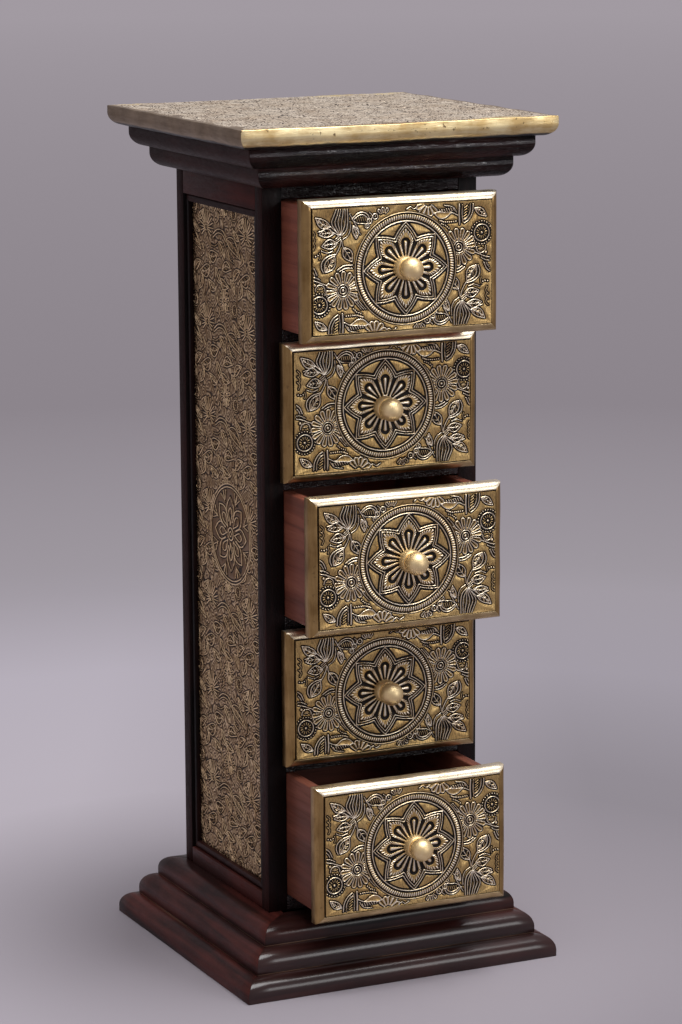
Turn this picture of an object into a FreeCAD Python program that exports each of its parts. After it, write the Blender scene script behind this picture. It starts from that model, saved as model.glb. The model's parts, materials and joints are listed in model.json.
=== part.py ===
import FreeCAD, Part
import math
import os

# A tall, narrow chest of drawers in dark lacquered wood, clad with embossed brass sheet.
# All sizes are in millimetres. X runs to the right, Y to the back and Z up.
# The origin is the centre of the underside, and the drawers face -Y.

# Drawer openings in the face frame
opening_width = 137.0
opening_height = 91.0
divider_height = 11.0
bottom_rail_height = 11.0
top_rail_height = 10.0

# How far each drawer is drawn out at rest, from the top drawer down
drawn_out = [40.0, 8.0, 47.0, 7.0, 54.0]

# Corner posts and the framed sides
post_depth = 12.0
foot_rail_height = 12.0
head_rail_height = 18.0
side_panel_thickness = 5.0
panel_recess = 5.4
bead_width = 5.5
bead_height = 3.6

# Framed back
back_panel_thickness = 5.0
back_panel_inset = 2.0
back_clearance = 1.0

# Drawer boxes
drawer_length = 138.0
drawer_board = 8.0
drawer_side_clearance = 0.4
drawer_bottom_clearance = 0.3
drawer_top_clearance = 1.2
bottom_thickness = 4.0
bottom_lift = 5.0
groove_depth = 3.0

# Wooden runners that carry the drawers
runner_width = 11.5
guide_thickness = 3.5
guide_rise = 8.0

# Drawer fronts, which overlap the face frame
front_thickness = 10.0
front_round = 5.5
front_overlap_side = 6.0
front_overlap_end = 3.6
field_border = 6.0
field_rise = 1.0

# Brass sheet and brass knobs
sheet_thickness = 0.6
sheet_lap = 11.0
knob_base_radius = 8.4
knob_base_thickness = 7.2
knob_base_round = 2.0
knob_neck_radius = 6.2
knob_ball_radius = 8.2
knob_ball_distance = 13.0
stud_radius = 2.0
stud_clearance = 0.2
stud_tail = 1.0
nut_radius = 4.0
nut_thickness = 3.0

# Stepped base, from the floor up, with its overhang past the block of the carcass
plinth_lower_height = 16.0
plinth_middle_height = 16.5
plinth_upper_height = 14.5
plinth_lower_overhang = 39.5
plinth_middle_overhang = 27.7
plinth_upper_overhang = 16.5
base_board_thickness = 9.0

# Cornice and top, from the carcass up
cornice_lower_height = 14.5
cornice_upper_height = 14.5
top_height = 14.0
cornice_lower_overhang = 14.7
cornice_upper_overhang = 26.1
top_overhang = 37.7

# Mouldings
moulding_flat = 5.0
moulding_setback = 13.0
moulding_seat_margin = 1.0

# Sizes that follow from the ones above
drawer_count = len(drawn_out)
drawer_pitch = opening_height + divider_height
post_width = guide_thickness + side_panel_thickness + sheet_thickness + panel_recess
carcass_width = opening_width + 2 * post_width
carcass_depth = drawer_length + back_clearance + post_depth
half_width = carcass_width / 2
half_depth = (carcass_depth + moulding_setback) / 2
face_y = moulding_setback - half_depth
back_y = half_depth
frame_back_y = face_y + post_depth
rear_frame_y = back_y - post_depth
panel_back_y = rear_frame_y + back_panel_inset

plinth_middle_z = plinth_lower_height
plinth_upper_z = plinth_middle_z + plinth_middle_height
carcass_z = plinth_upper_z + plinth_upper_height
first_opening_z = carcass_z + bottom_rail_height
openings_height = drawer_count * drawer_pitch - divider_height
carcass_height = bottom_rail_height + openings_height + top_rail_height
cornice_lower_z = carcass_z + carcass_height
cornice_upper_z = cornice_lower_z + cornice_lower_height
top_z = cornice_upper_z + cornice_upper_height

half_opening = opening_width / 2
side_panel_x = half_opening + guide_thickness
side_brass_x = side_panel_x + side_panel_thickness
bead_x = side_brass_x + sheet_thickness
side_panel_z = carcass_z + foot_rail_height
side_panel_top = cornice_lower_z - head_rail_height
side_panel_height = side_panel_top - side_panel_z
side_panel_length = rear_frame_y - frame_back_y
moulding_seat = moulding_setback + post_depth + moulding_seat_margin

half_front_width = half_opening + front_overlap_side
half_front_height = opening_height / 2 + front_overlap_end
half_box = half_opening - drawer_side_clearance
half_inside = half_box - drawer_board
box_height = opening_height - drawer_bottom_clearance - drawer_top_clearance

ORIGIN = FreeCAD.Vector(0, 0, 0)
X_AXIS = FreeCAD.Vector(1, 0, 0)
Y_AXIS = FreeCAD.Vector(0, 1, 0)
Z_AXIS = FreeCAD.Vector(0, 0, 1)
CYCLE_AXIS = FreeCAD.Vector(1, 1, 1)
QUARTER_TURN = 90
CYCLE_TURN = 120
FULL_TURN = 360
ARC_MIDDLE = math.sqrt(0.5)
BEAD_SWELL = 0.62
NUT_SIDES = 6


def point(x, y, z):
    return FreeCAD.Vector(x, y, z)


def box(x_range, y_range, z_range):
    """A board between two values on each axis."""
    low = point(x_range[0], y_range[0], z_range[0])
    size = point(x_range[1], y_range[1], z_range[1]) - low
    return Part.makeBox(size.x, size.y, size.z, low)


def line(start, end):
    return Part.LineSegment(start, end).toShape()


def arc(start, middle, end):
    return Part.Arc(start, middle, end).toShape()


def polyline(points):
    return [line(start, end) for start, end in zip(points, points[1:])]


def mirrored(shape):
    """The same piece on the other side of the chest."""
    return shape.mirror(ORIGIN, X_AXIS)


def moulding_profile(width, height):
    """A moulding's section: a flat at its foot and a quarter round above, facing -Y."""
    radius = height - moulding_flat
    reach = radius * (1 - ARC_MIDDLE)
    foot = point(0, 0, 0)
    spring = point(0, 0, moulding_flat)
    middle = point(0, reach, height - reach)
    crown = point(0, radius, height)
    edges = [line(foot, spring), arc(spring, middle, crown)]
    edges += polyline([crown, point(0, width, height), point(0, width, 0), foot])
    return Part.Face(Part.Wire(edges))


def bead_profile(width, height):
    """The bead's section: square against the frame and rounded down towards the panel."""
    toe = point(0, width, 0)
    middle = point(0, width * BEAD_SWELL, height * BEAD_SWELL)
    crown = point(0, 0, height)
    corner = point(0, 0, 0)
    edges = [arc(toe, middle, crown), line(crown, corner), line(corner, toe)]
    return Part.Face(Part.Wire(edges))


def mitred_strip(profile, half_length, half_reach, width):
    """One strip along X with its outer face at y = -half_reach and both ends mitred."""
    section = profile.copy()
    section.translate(point(-half_length, -half_reach, 0))
    bar = section.extrude(point(2 * half_length, 0, 0))
    height = bar.BoundBox.ZMax
    outline = [
        point(-half_length, -half_reach, 0),
        point(half_length, -half_reach, 0),
        point(half_length - width, width - half_reach, 0),
        point(width - half_length, width - half_reach, 0),
        point(-half_length, -half_reach, 0),
    ]
    plan = Part.Face(Part.makePolygon(outline))
    return bar.common(plan.extrude(point(0, 0, height)))


def mitred_frame(profile, half_x, half_y, width):
    """Four strips of one profile, mitred round a rectangle centred on the origin."""
    halves = [(half_x, half_y), (half_y, half_x)] * 2
    strips = []
    for turn, (half_length, half_reach) in enumerate(halves):
        strip = mitred_strip(profile, half_length, half_reach, width)
        strip.rotate(ORIGIN, Z_AXIS, turn * QUARTER_TURN)
        strips += strip.Solids
    return Part.Compound(strips)


def plinth_step(overhang, height, low_z):
    """One step of the base, with its round on top."""
    width = overhang + moulding_seat
    profile = moulding_profile(width, height)
    step = mitred_frame(profile, half_width + overhang, half_depth + overhang, width)
    step.translate(point(0, 0, low_z))
    return step


def cornice_step(overhang, height, low_z):
    """One step of the cornice, with its round below."""
    step = plinth_step(overhang, height, 0)
    step = step.mirror(ORIGIN, Z_AXIS)
    step.translate(point(0, 0, low_z + height))
    return step


def rounded_section(half_span, thickness, radius):
    """A board's section in XZ, flat at z = 0 and rounded along both edges of its face."""
    reach = radius * (1 - ARC_MIDDLE)
    spring_z = thickness - radius
    left = [
        point(-half_span, 0, spring_z),
        point(reach - half_span, 0, thickness - reach),
        point(radius - half_span, 0, thickness),
    ]
    right = [point(-p.x, 0, p.z) for p in reversed(left)]
    foot_left = point(-half_span, 0, 0)
    foot_right = point(half_span, 0, 0)
    edges = [line(foot_left, left[0]), arc(*left), line(left[-1], right[0]), arc(*right)]
    edges += polyline([right[-1], foot_right, foot_left])
    return Part.Face(Part.Wire(edges))


def rounded_board(half_x, half_y, thickness, radius):
    """A board on z = 0 whose four upper edges are rounded and meet in mitres."""
    across = rounded_section(half_x, thickness, radius)
    across.translate(point(0, -half_y, 0))
    across = across.extrude(point(0, 2 * half_y, 0))
    along = rounded_section(half_y, thickness, radius)
    along.translate(point(0, -half_x, 0))
    along = along.extrude(point(0, 2 * half_x, 0))
    along.rotate(ORIGIN, Z_AXIS, QUARTER_TURN)
    return across.common(along)


def top_slab(inset, thickness):
    """The top, brought in by an inset, with its rounded edges turned down."""
    radius = top_height - moulding_flat - inset
    half_x = half_width + top_overhang - inset
    half_y = half_depth + top_overhang - inset
    slab = rounded_board(half_x, half_y, thickness, radius)
    slab = slab.mirror(ORIGIN, Z_AXIS)
    slab.translate(point(0, 0, top_z + top_height - inset))
    return slab


def top_pieces():
    """The wooden top and the brass sheet that is folded over it and laps under its edge."""
    slab = top_slab(0, top_height)
    core = top_slab(sheet_thickness, top_height - 2 * sheet_thickness)
    lap_x = half_width + top_overhang - sheet_lap
    lap_y = half_depth + top_overhang - sheet_lap
    pad = box((-lap_x, lap_x), (-lap_y, lap_y), (top_z, top_z + sheet_thickness))
    board = core.fuse(pad).removeSplitter()
    return {"top_board": board, "top_brass_sheet": slab.cut(board)}


def base_pieces():
    """The three steps of the base and the board that closes it underneath."""
    inner_x = half_width - moulding_seat
    inner_y = half_depth - moulding_seat
    return {
        "base_board": box((-inner_x, inner_x), (-inner_y, inner_y), (0, base_board_thickness)),
        "plinth_lower": plinth_step(plinth_lower_overhang, plinth_lower_height, 0),
        "plinth_middle": plinth_step(plinth_middle_overhang, plinth_middle_height, plinth_middle_z),
        "plinth_upper": plinth_step(plinth_upper_overhang, plinth_upper_height, plinth_upper_z),
    }


def cornice_pieces():
    """The two mouldings under the top."""
    return {
        "cornice_lower": cornice_step(cornice_lower_overhang, cornice_lower_height, cornice_lower_z),
        "cornice_upper": cornice_step(cornice_upper_overhang, cornice_upper_height, cornice_upper_z),
    }


def post_pieces():
    """The four corner posts."""
    z_range = (carcass_z, cornice_lower_z)
    x_range = (half_opening, half_width)
    front = box(x_range, (face_y, frame_back_y), z_range)
    back = box(x_range, (rear_frame_y, back_y), z_range)
    return {
        "post_front_left": mirrored(front),
        "post_front_right": front,
        "post_back_left": mirrored(back),
        "post_back_right": back,
    }


def frame_rail_levels():
    """The heights of the rails at the foot and head of the framed sides and back."""
    return [(carcass_z, side_panel_z), (side_panel_top, cornice_lower_z)]


def side_rails():
    """The rails at the foot and head of the right-hand side."""
    x_range = (side_panel_x, half_width)
    y_range = (frame_back_y, rear_frame_y)
    return Part.Compound([box(x_range, y_range, z_range) for z_range in frame_rail_levels()])


def side_board(low_x, high_x):
    """A board that fills the frame of the right-hand side."""
    z_range = (side_panel_z, side_panel_top)
    return box((low_x, high_x), (frame_back_y, rear_frame_y), z_range)


def panel_beads():
    """The mitred beads that hold the right-hand side's brass sheet in its frame."""
    profile = bead_profile(bead_width, bead_height)
    beads = mitred_frame(profile, side_panel_length / 2, side_panel_height / 2, bead_width)
    beads.rotate(ORIGIN, CYCLE_AXIS, CYCLE_TURN)
    middle_y = (frame_back_y + rear_frame_y) / 2
    beads.translate(point(bead_x, middle_y, side_panel_z + side_panel_height / 2))
    return beads


def drawer_runners():
    """A ledge under each drawer's right-hand side, with a guide strip beside it."""
    strips = []
    for level in range(drawer_count):
        high_z = first_opening_z + level * drawer_pitch
        low_z = high_z - divider_height
        ledge_x = (half_opening - runner_width, half_opening)
        strips.append(box(ledge_x, (frame_back_y, panel_back_y), (low_z, high_z)))
        guide_x = (half_opening, side_panel_x)
        strips.append(box(guide_x, (frame_back_y, rear_frame_y), (low_z, high_z + guide_rise)))
    return Part.Compound(strips)


def side_pieces():
    """Both framed sides with their brass sheets, beads and drawer runners."""
    right = {
        "side_rails": side_rails(),
        "side_panel": side_board(side_panel_x, side_brass_x),
        "side_brass": side_board(side_brass_x, bead_x),
        "panel_beads": panel_beads(),
        "drawer_runners": drawer_runners(),
    }
    pieces = {}
    for name, shape in right.items():
        pieces[name + "_right"] = shape
        pieces[name + "_left"] = mirrored(shape)
    return pieces


def back_pieces():
    """The back: two rails and a panel between the rear posts."""
    x_range = (-half_opening, half_opening)
    rails = [box(x_range, (panel_back_y, back_y), z_range) for z_range in frame_rail_levels()]
    y_range = (panel_back_y, panel_back_y + back_panel_thickness)
    z_range = (side_panel_z, side_panel_top)
    return {"back_rails": Part.Compound(rails), "back_panel": box(x_range, y_range, z_range)}


def front_rails():
    """The rails of the face frame: one at the foot, one between drawers and one at the head."""
    levels = [(carcass_z, first_opening_z)]
    for level in range(1, drawer_count):
        high_z = first_opening_z + level * drawer_pitch
        levels.append((high_z - divider_height, high_z))
    levels.append((cornice_lower_z - top_rail_height, cornice_lower_z))
    x_range = (-half_opening, half_opening)
    return Part.Compound([box(x_range, (face_y, frame_back_y), z_range) for z_range in levels])


def front_shape(inset):
    """A drawer front on z = 0: rounded border and raised field, brought in by an inset."""
    border = rounded_board(
        half_front_width - inset,
        half_front_height - inset,
        front_thickness - inset,
        front_round - inset,
    )
    field_x = half_front_width - field_border - inset
    field_y = half_front_height - field_border - inset
    field_z = (front_thickness - inset, front_thickness + field_rise - inset)
    field = box((-field_x, field_x), (-field_y, field_y), field_z)
    return border.fuse(field).removeSplitter()


def drawer_front():
    """The wooden front and its brass facing, both drilled for the knob's stud."""
    hole = Part.makeCylinder(stud_radius + stud_clearance, front_thickness + field_rise)
    board = front_shape(sheet_thickness)
    facing = front_shape(0).cut(board)
    pieces = {"front_board": board.cut(hole), "facing": facing.cut(hole)}
    for shape in pieces.values():
        shape.rotate(ORIGIN, X_AXIS, QUARTER_TURN)
    return pieces


def knob_turning():
    """The turned knob and its stud: a thick round base, a crease and a ball, pointing to -Y."""
    tail = front_thickness + field_rise + nut_thickness + stud_tail
    rim = knob_base_thickness - knob_base_round
    rim_reach = knob_base_round * ARC_MIDDLE
    rim_centre_x = knob_base_radius - knob_base_round
    ball_start = knob_ball_distance - math.sqrt(knob_ball_radius ** 2 - knob_neck_radius ** 2)
    ball_end = knob_ball_distance + knob_ball_radius
    edges = polyline([
        point(0, tail, 0),
        point(stud_radius, tail, 0),
        point(stud_radius, 0, 0),
        point(knob_base_radius, 0, 0),
        point(knob_base_radius, -rim, 0),
    ])
    rim_middle = point(rim_centre_x + rim_reach, -rim - rim_reach, 0)
    rim_end = point(rim_centre_x, -knob_base_thickness, 0)
    edges.append(arc(point(knob_base_radius, -rim, 0), rim_middle, rim_end))
    neck_end = point(knob_neck_radius, -ball_start, 0)
    edges += polyline([rim_end, point(knob_neck_radius, -knob_base_thickness, 0), neck_end])
    tip = point(0, -ball_end, 0)
    edges.append(arc(neck_end, point(knob_ball_radius, -knob_ball_distance, 0), tip))
    edges.append(line(tip, point(0, tail, 0)))
    return Part.Face(Part.Wire(edges)).revolve(ORIGIN, Y_AXIS, FULL_TURN)


def knob_nut():
    """The hexagonal nut that draws the knob tight against the front."""
    corner = point(nut_radius, 0, 0)
    corners = [corner]
    for side in range(1, NUT_SIDES + 1):
        turn = FreeCAD.Rotation(Y_AXIS, side * FULL_TURN / NUT_SIDES)
        corners.append(turn.multVec(corner))
    nut = Part.Face(Part.makePolygon(corners)).extrude(point(0, nut_thickness, 0))
    hole = Part.makeCylinder(stud_radius + stud_clearance, nut_thickness, ORIGIN, Y_AXIS)
    return nut.cut(hole)


def knob():
    """The knob on the field of a front whose back lies on y = 0, with its nut behind."""
    turning = knob_turning()
    turning.translate(point(0, -front_thickness - field_rise, 0))
    return Part.Compound([turning, knob_nut()])


def drawer_side():
    """A drawer's right-hand side, grooved for the bottom, with its front end on y = 0."""
    board = box((half_inside, half_box), (0, drawer_length), (0, box_height))
    groove_x = (half_inside, half_inside + groove_depth)
    groove = box(groove_x, (0, drawer_length), (bottom_lift, bottom_lift + bottom_thickness))
    return board.cut(groove)


def drawer_box():
    """The sides, back and bottom of a drawer, with its underside on z = 0."""
    side = drawer_side()
    bottom_x = half_inside + groove_depth
    bottom_top = bottom_lift + bottom_thickness
    back_range = (drawer_length - drawer_board, drawer_length)
    return {
        "side_left": mirrored(side),
        "side_right": side,
        "back": box((-half_inside, half_inside), back_range, (bottom_top, box_height)),
        "bottom": box((-bottom_x, bottom_x), (0, drawer_length), (bottom_lift, bottom_top)),
    }


def drawer_pieces(number):
    """All pieces of one drawer, counted from the top, drawn out as far as it is at rest."""
    opening_z = first_opening_z + (drawer_count - number) * drawer_pitch
    front_y = face_y - drawn_out[number - 1]
    pieces = {}
    for name, shape in drawer_box().items():
        shape.translate(point(0, front_y, opening_z + drawer_bottom_clearance))
        pieces[name] = shape
    on_front = drawer_front()
    on_front["knob"] = knob()
    for name, shape in on_front.items():
        shape.translate(point(0, front_y, opening_z + opening_height / 2))
        pieces[name] = shape
    return {"drawer_{}_{}".format(number, name): shape for name, shape in pieces.items()}


def all_pieces():
    pieces = {"front_rails": front_rails()}
    for group in (base_pieces, cornice_pieces, top_pieces, post_pieces, side_pieces, back_pieces):
        pieces.update(group())
    for number in range(1, drawer_count + 1):
        pieces.update(drawer_pieces(number))
    return pieces


os.makedirs("parts", exist_ok=True)
for node, shape in all_pieces().items():
    shape.exportStep("parts/" + node + ".step")
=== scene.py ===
import json
import math

import bpy
import numpy as np
from mathutils import Matrix, Vector

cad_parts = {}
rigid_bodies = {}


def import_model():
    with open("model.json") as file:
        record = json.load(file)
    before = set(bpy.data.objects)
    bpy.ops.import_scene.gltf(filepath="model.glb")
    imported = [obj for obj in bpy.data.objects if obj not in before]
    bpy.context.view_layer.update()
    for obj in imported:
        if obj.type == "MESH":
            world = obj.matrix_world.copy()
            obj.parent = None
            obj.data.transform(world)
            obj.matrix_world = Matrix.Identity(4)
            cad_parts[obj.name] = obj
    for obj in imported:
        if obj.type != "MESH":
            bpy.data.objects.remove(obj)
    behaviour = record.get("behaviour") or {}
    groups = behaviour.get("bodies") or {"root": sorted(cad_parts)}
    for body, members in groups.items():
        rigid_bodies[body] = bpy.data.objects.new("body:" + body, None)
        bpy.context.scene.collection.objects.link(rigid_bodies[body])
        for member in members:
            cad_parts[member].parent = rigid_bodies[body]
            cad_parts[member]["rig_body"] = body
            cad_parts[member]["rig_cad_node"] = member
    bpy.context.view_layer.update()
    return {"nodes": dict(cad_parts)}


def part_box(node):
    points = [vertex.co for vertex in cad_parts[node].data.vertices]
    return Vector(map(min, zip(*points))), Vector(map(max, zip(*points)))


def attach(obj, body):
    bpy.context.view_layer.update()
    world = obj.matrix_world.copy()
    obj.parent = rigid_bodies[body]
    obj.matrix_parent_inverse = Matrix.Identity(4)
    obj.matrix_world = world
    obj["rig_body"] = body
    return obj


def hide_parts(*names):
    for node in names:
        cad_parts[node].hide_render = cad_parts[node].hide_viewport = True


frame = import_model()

# A tall chest of five drawers: dark lacquered wood, with embossed brass sheet on its drawers, sides and top.
# Lengths of the embossed designs are in millimetres, and all else is in metres.

MM = 0.001
CARCASS = "carcass"
DRAWERS = [f"drawer_{number}" for number in range(1, 6)]
RNG = np.random.default_rng(7)

# Wood: eased edges and the rounds of the mouldings
MOULDING_FLAT = 5 * MM
MOULDING_SEAT = 26 * MM
MOULDING_EASE = 0.5 * MM
MOULDING_CUTS = 14
MOULDING_DENT = 0.05 * MM
MOULDING_WAVE = 30 * MM
BOARD_EASE = 0.4 * MM
DRAWER_EASE = 0.9 * MM
THIN_EASE = 0.3 * MM
SHARP_ANGLE = 40
TOUCH = 0.01 * MM
ROUND_STEPS = 10
BEAD_WIDTH = 5.5 * MM
BEAD_ROUND = 0.8
BEAD_CUTS = 10
LUMPS = (0.0, 0.4 * MM)
LUMP_RISE = 1.3 * MM
LUMP_CUTS = 110

# Brass sheet
SHEET = 0.6 * MM
BORDER_ROUND = 5.0 * MM
BORDER_WIDTH = 5.3 * MM
BORDER_EASE = 0.12 * MM
BORDER_CUTS = 24
BORDER_DENT = 0.16 * MM
BORDER_WAVE = 16 * MM
FIELD_INSET = 6.2 * MM
FIELD_RISE = 1.0 * MM
TOP_RIM = 3.0 * MM
TOP_EDGE_WIDTH = 12 * MM
TOP_EDGE_ROUND = 0.6 * MM
TOP_EDGE_CUTS = 40
TOP_DENT = 0.28 * MM
TOP_WAVE = 14 * MM
TOP_LIFT = 0.1 * MM
TOP_RELIEF = 0.5

# Embossing, in millimetres
FRONT_STEP = 0.25
SIDE_STEP = 0.4
TOP_STEP = 0.5
FRONT_TRIANGLES = 150000
SIDE_TRIANGLES = 185000
TOP_TRIANGLES = 185000
LINE = 0.78
FINE = 0.6
VEIN = 0.5
MOAT = 0.76
SLOT = 0.62
RAISED = 0.5
LOW = 0.3
BODY = 0.2
TRENCH = 0.36
HOLLOW = 0.5
FAR = 1e6
EDGE_FADE = 0.8
BLADE_LINE = FINE + 0.05
RING_LINE = FINE + 0.1
FILL_SIZE = 9.0
FILL_PITCH = 2.5


# Handling pieces

def deselect():
    """Leaves edit mode and selects nothing."""
    active = bpy.context.object
    if active and active.mode != "OBJECT":
        bpy.ops.object.mode_set(mode="OBJECT")
    bpy.ops.object.select_all(action="DESELECT")


def pick(piece):
    """Selects one piece and makes it the active one."""
    deselect()
    piece.select_set(True)
    bpy.context.view_layer.objects.active = piece


def named(piece, name):
    """Names a piece and its mesh."""
    piece.name = name
    piece.data.name = name
    return piece


def settle(piece):
    """Puts the piece's place, turn and scale into its mesh."""
    pick(piece)
    bpy.ops.object.transform_apply(location=True, rotation=True, scale=True)
    return piece


def placed(piece, matrix):
    """Moves and turns a piece by a matrix, in its mesh."""
    piece.matrix_world = matrix
    return settle(piece)


def block(name, low, high):
    """A box between two corners."""
    deselect()
    low = Vector(low)
    high = Vector(high)
    bpy.ops.mesh.primitive_cube_add(size=1.0, location=(low + high) / 2, scale=high - low)
    return settle(named(bpy.context.object, name))


def choose_edges(piece, test):
    """Enters edit mode with only the edges that pass a test selected."""
    pick(piece)
    bpy.ops.object.mode_set(mode="EDIT")
    bpy.ops.mesh.select_mode(type="EDGE")
    bpy.ops.mesh.select_all(action="DESELECT")
    bpy.ops.object.mode_set(mode="OBJECT")
    corners = piece.data.vertices
    for edge in piece.data.edges:
        edge.select = test(*[corners[index].co for index in edge.vertices])
    bpy.ops.object.mode_set(mode="EDIT")


def points_of(piece):
    """The places of a piece's points, as rows of three."""
    corners = np.empty(len(piece.data.vertices) * 3, np.float32)
    piece.data.vertices.foreach_get("co", corners)
    return corners.reshape(-1, 3)


def move_points(piece, corners):
    """Puts a piece's points at new places."""
    piece.data.vertices.foreach_set("co", corners.astype(np.float32).ravel())
    piece.data.update()


def modified(piece, kind, **settings):
    """Adds a modifier and applies it."""
    pick(piece)
    modifier = piece.modifiers.new(kind.lower(), kind)
    for setting, value in settings.items():
        setattr(modifier, setting, value)
    bpy.ops.object.modifier_apply(modifier=modifier.name)
    return piece


def eased(piece, width):
    """Rounds every sharp edge a little."""
    return modified(piece, "BEVEL", width=width, segments=2, limit_method="ANGLE",
                    angle_limit=math.radians(SHARP_ANGLE))


def smoothed(piece, angle=35):
    """Shades the round faces smooth and keeps the sharp edges."""
    pick(piece)
    bpy.ops.object.shade_smooth_by_angle(angle=math.radians(angle))
    return piece


def joined(pieces, name):
    """Joins pieces into one."""
    deselect()
    for piece in pieces:
        piece.select_set(True)
    bpy.context.view_layer.objects.active = pieces[0]
    if len(pieces) > 1:
        bpy.ops.object.join()
    return named(pieces[0], name)


def duplicate(piece, name, matrix):
    """A copy with its own mesh, moved by a matrix."""
    pick(piece)
    bpy.ops.object.duplicate(linked=False)
    return placed(named(bpy.context.object, name), matrix)


def hand_in(piece, body, slot, *nodes):
    """Lets a finished piece ride on its body and stand for its nodes."""
    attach(piece, body)
    if nodes:
        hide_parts(*nodes)


# Finishes

class Finish:
    """A procedural material that reads Object coordinates."""

    def __init__(self, name):
        self.material = bpy.data.materials.new(name)
        self.material.use_nodes = True
        self.tree = self.material.node_tree
        self.shader = self.tree.nodes["Principled BSDF"]
        self.place = self.add("ShaderNodeTexCoord").outputs["Object"]

    def add(self, kind, **settings):
        node = self.tree.nodes.new(kind)
        for setting, value in settings.items():
            setattr(node, setting, value)
        return node

    def feed(self, node, **values):
        """Sets or links a node's sockets by name."""
        for socket, value in values.items():
            target = node.inputs[socket.replace("_", " ")]
            if isinstance(value, bpy.types.NodeSocket):
                self.tree.links.new(value, target)
            else:
                target.default_value = value
        return node

    def noise(self, scale, stretch=(1, 1, 1), detail=4.0, roughness=0.55, distortion=0.0):
        spread = self.feed(self.add("ShaderNodeMapping"), Vector=self.place, Scale=stretch)
        cloud = self.add("ShaderNodeTexNoise")
        self.feed(cloud, Vector=spread.outputs[0], Scale=scale, Detail=detail, Roughness=roughness,
                  Distortion=distortion)
        return cloud.outputs["Fac"]

    def waves(self, scale, distortion, detail=3.0):
        lines = self.add("ShaderNodeTexWave")
        self.feed(lines, Vector=self.place, Scale=scale, Distortion=distortion, Detail=detail)
        return lines.outputs["Fac"]

    def attribute(self, name):
        return self.add("ShaderNodeAttribute", attribute_name=name).outputs["Fac"]

    def span(self, value, low, high, start=0.0, end=1.0):
        """Maps a value from one span to another, and holds it there."""
        node = self.add("ShaderNodeMapRange")
        self.feed(node, Value=value, From_Min=low, From_Max=high, To_Min=start, To_Max=end)
        return node.outputs["Result"]

    def sum(self, value, other, operation="ADD"):
        node = self.add("ShaderNodeMath", operation=operation)
        for socket, part in zip(node.inputs, (value, other)):
            if isinstance(part, bpy.types.NodeSocket):
                self.tree.links.new(part, socket)
            else:
                socket.default_value = part
        return node.outputs[0]

    def times(self, value, other):
        return self.sum(value, other, "MULTIPLY")

    def off(self, value, level):
        """How far a value is from a level."""
        return self.sum(self.sum(value, level, "SUBTRACT"), 0.0, "ABSOLUTE")

    def height(self):
        """Height over the floor."""
        return self.feed(self.add("ShaderNodeSeparateXYZ"), Vector=self.place).outputs["Z"]

    def band(self, level, half):
        """One near a height and nothing away from it."""
        return self.span(self.off(self.height(), level), 0.5 * half, half, 1.0, 0.0)

    def ramp(self, value, *stops):
        """Colours along a value, as pairs of a position and a colour."""
        node = self.feed(self.add("ShaderNodeValToRGB"), Fac=value)
        points = node.color_ramp.elements
        while len(points) < len(stops):
            points.new(0.5)
        for point, (position, colour) in zip(points, stops):
            point.position = position
            point.color = (*colour, 1.0)
        return node.outputs["Color"]

    def mix(self, share, first, second, blend="MIX"):
        node = self.add("ShaderNodeMix", data_type="RGBA", blend_type=blend)
        for socket, value in ((0, share), (6, first), (7, second)):
            target = node.inputs[socket]
            if isinstance(value, bpy.types.NodeSocket):
                self.tree.links.new(value, target)
            elif socket == 0:
                target.default_value = value
            else:
                target.default_value = (*value, 1.0)
        return node.outputs[2]

    def bump(self, value, strength, distance):
        node = self.add("ShaderNodeBump")
        self.feed(node, Height=value, Strength=strength, Distance=distance)
        self.shade(Normal=node.outputs["Normal"])

    def shade(self, **values):
        """Sets or links the surface's own sockets."""
        self.feed(self.shader, **values)


def stretched(along, share):
    """Scales of a pattern that is drawn out along one axis."""
    return [share if axis == along else 1.0 for axis in "xyz"]


BLACK_STAIN = (0.0060, 0.0036, 0.0034)
WINE_STAIN = (0.022, 0.0070, 0.0062)
WARM_STAIN = (0.050, 0.0150, 0.0125)
RED_STAIN = (0.120, 0.0270, 0.0205)
COAT_ROUGHNESS = 0.2
# Pale lines at the lower edges of the plinth steps: worn lacquer, and a painted highlight on those edges.
WORN_EDGE_AND_HIGHLIGHT = (0.30, 0.18, 0.12)
WORN_AND_LIT_WIDTH = 0.4 * MM
THICK_WIDTH = 1.5 * MM
THICK_GLOSS = 0.88
THICK_RISE = 0.7 * MM
SHOULDERS = [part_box(node)[1].z - MOULDING_FLAT + THICK_RISE for node in ("cornice_lower", "cornice_upper")]
STEP_EDGES = [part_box(node)[0].z for node in ("plinth_middle", "plinth_upper")]


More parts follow.
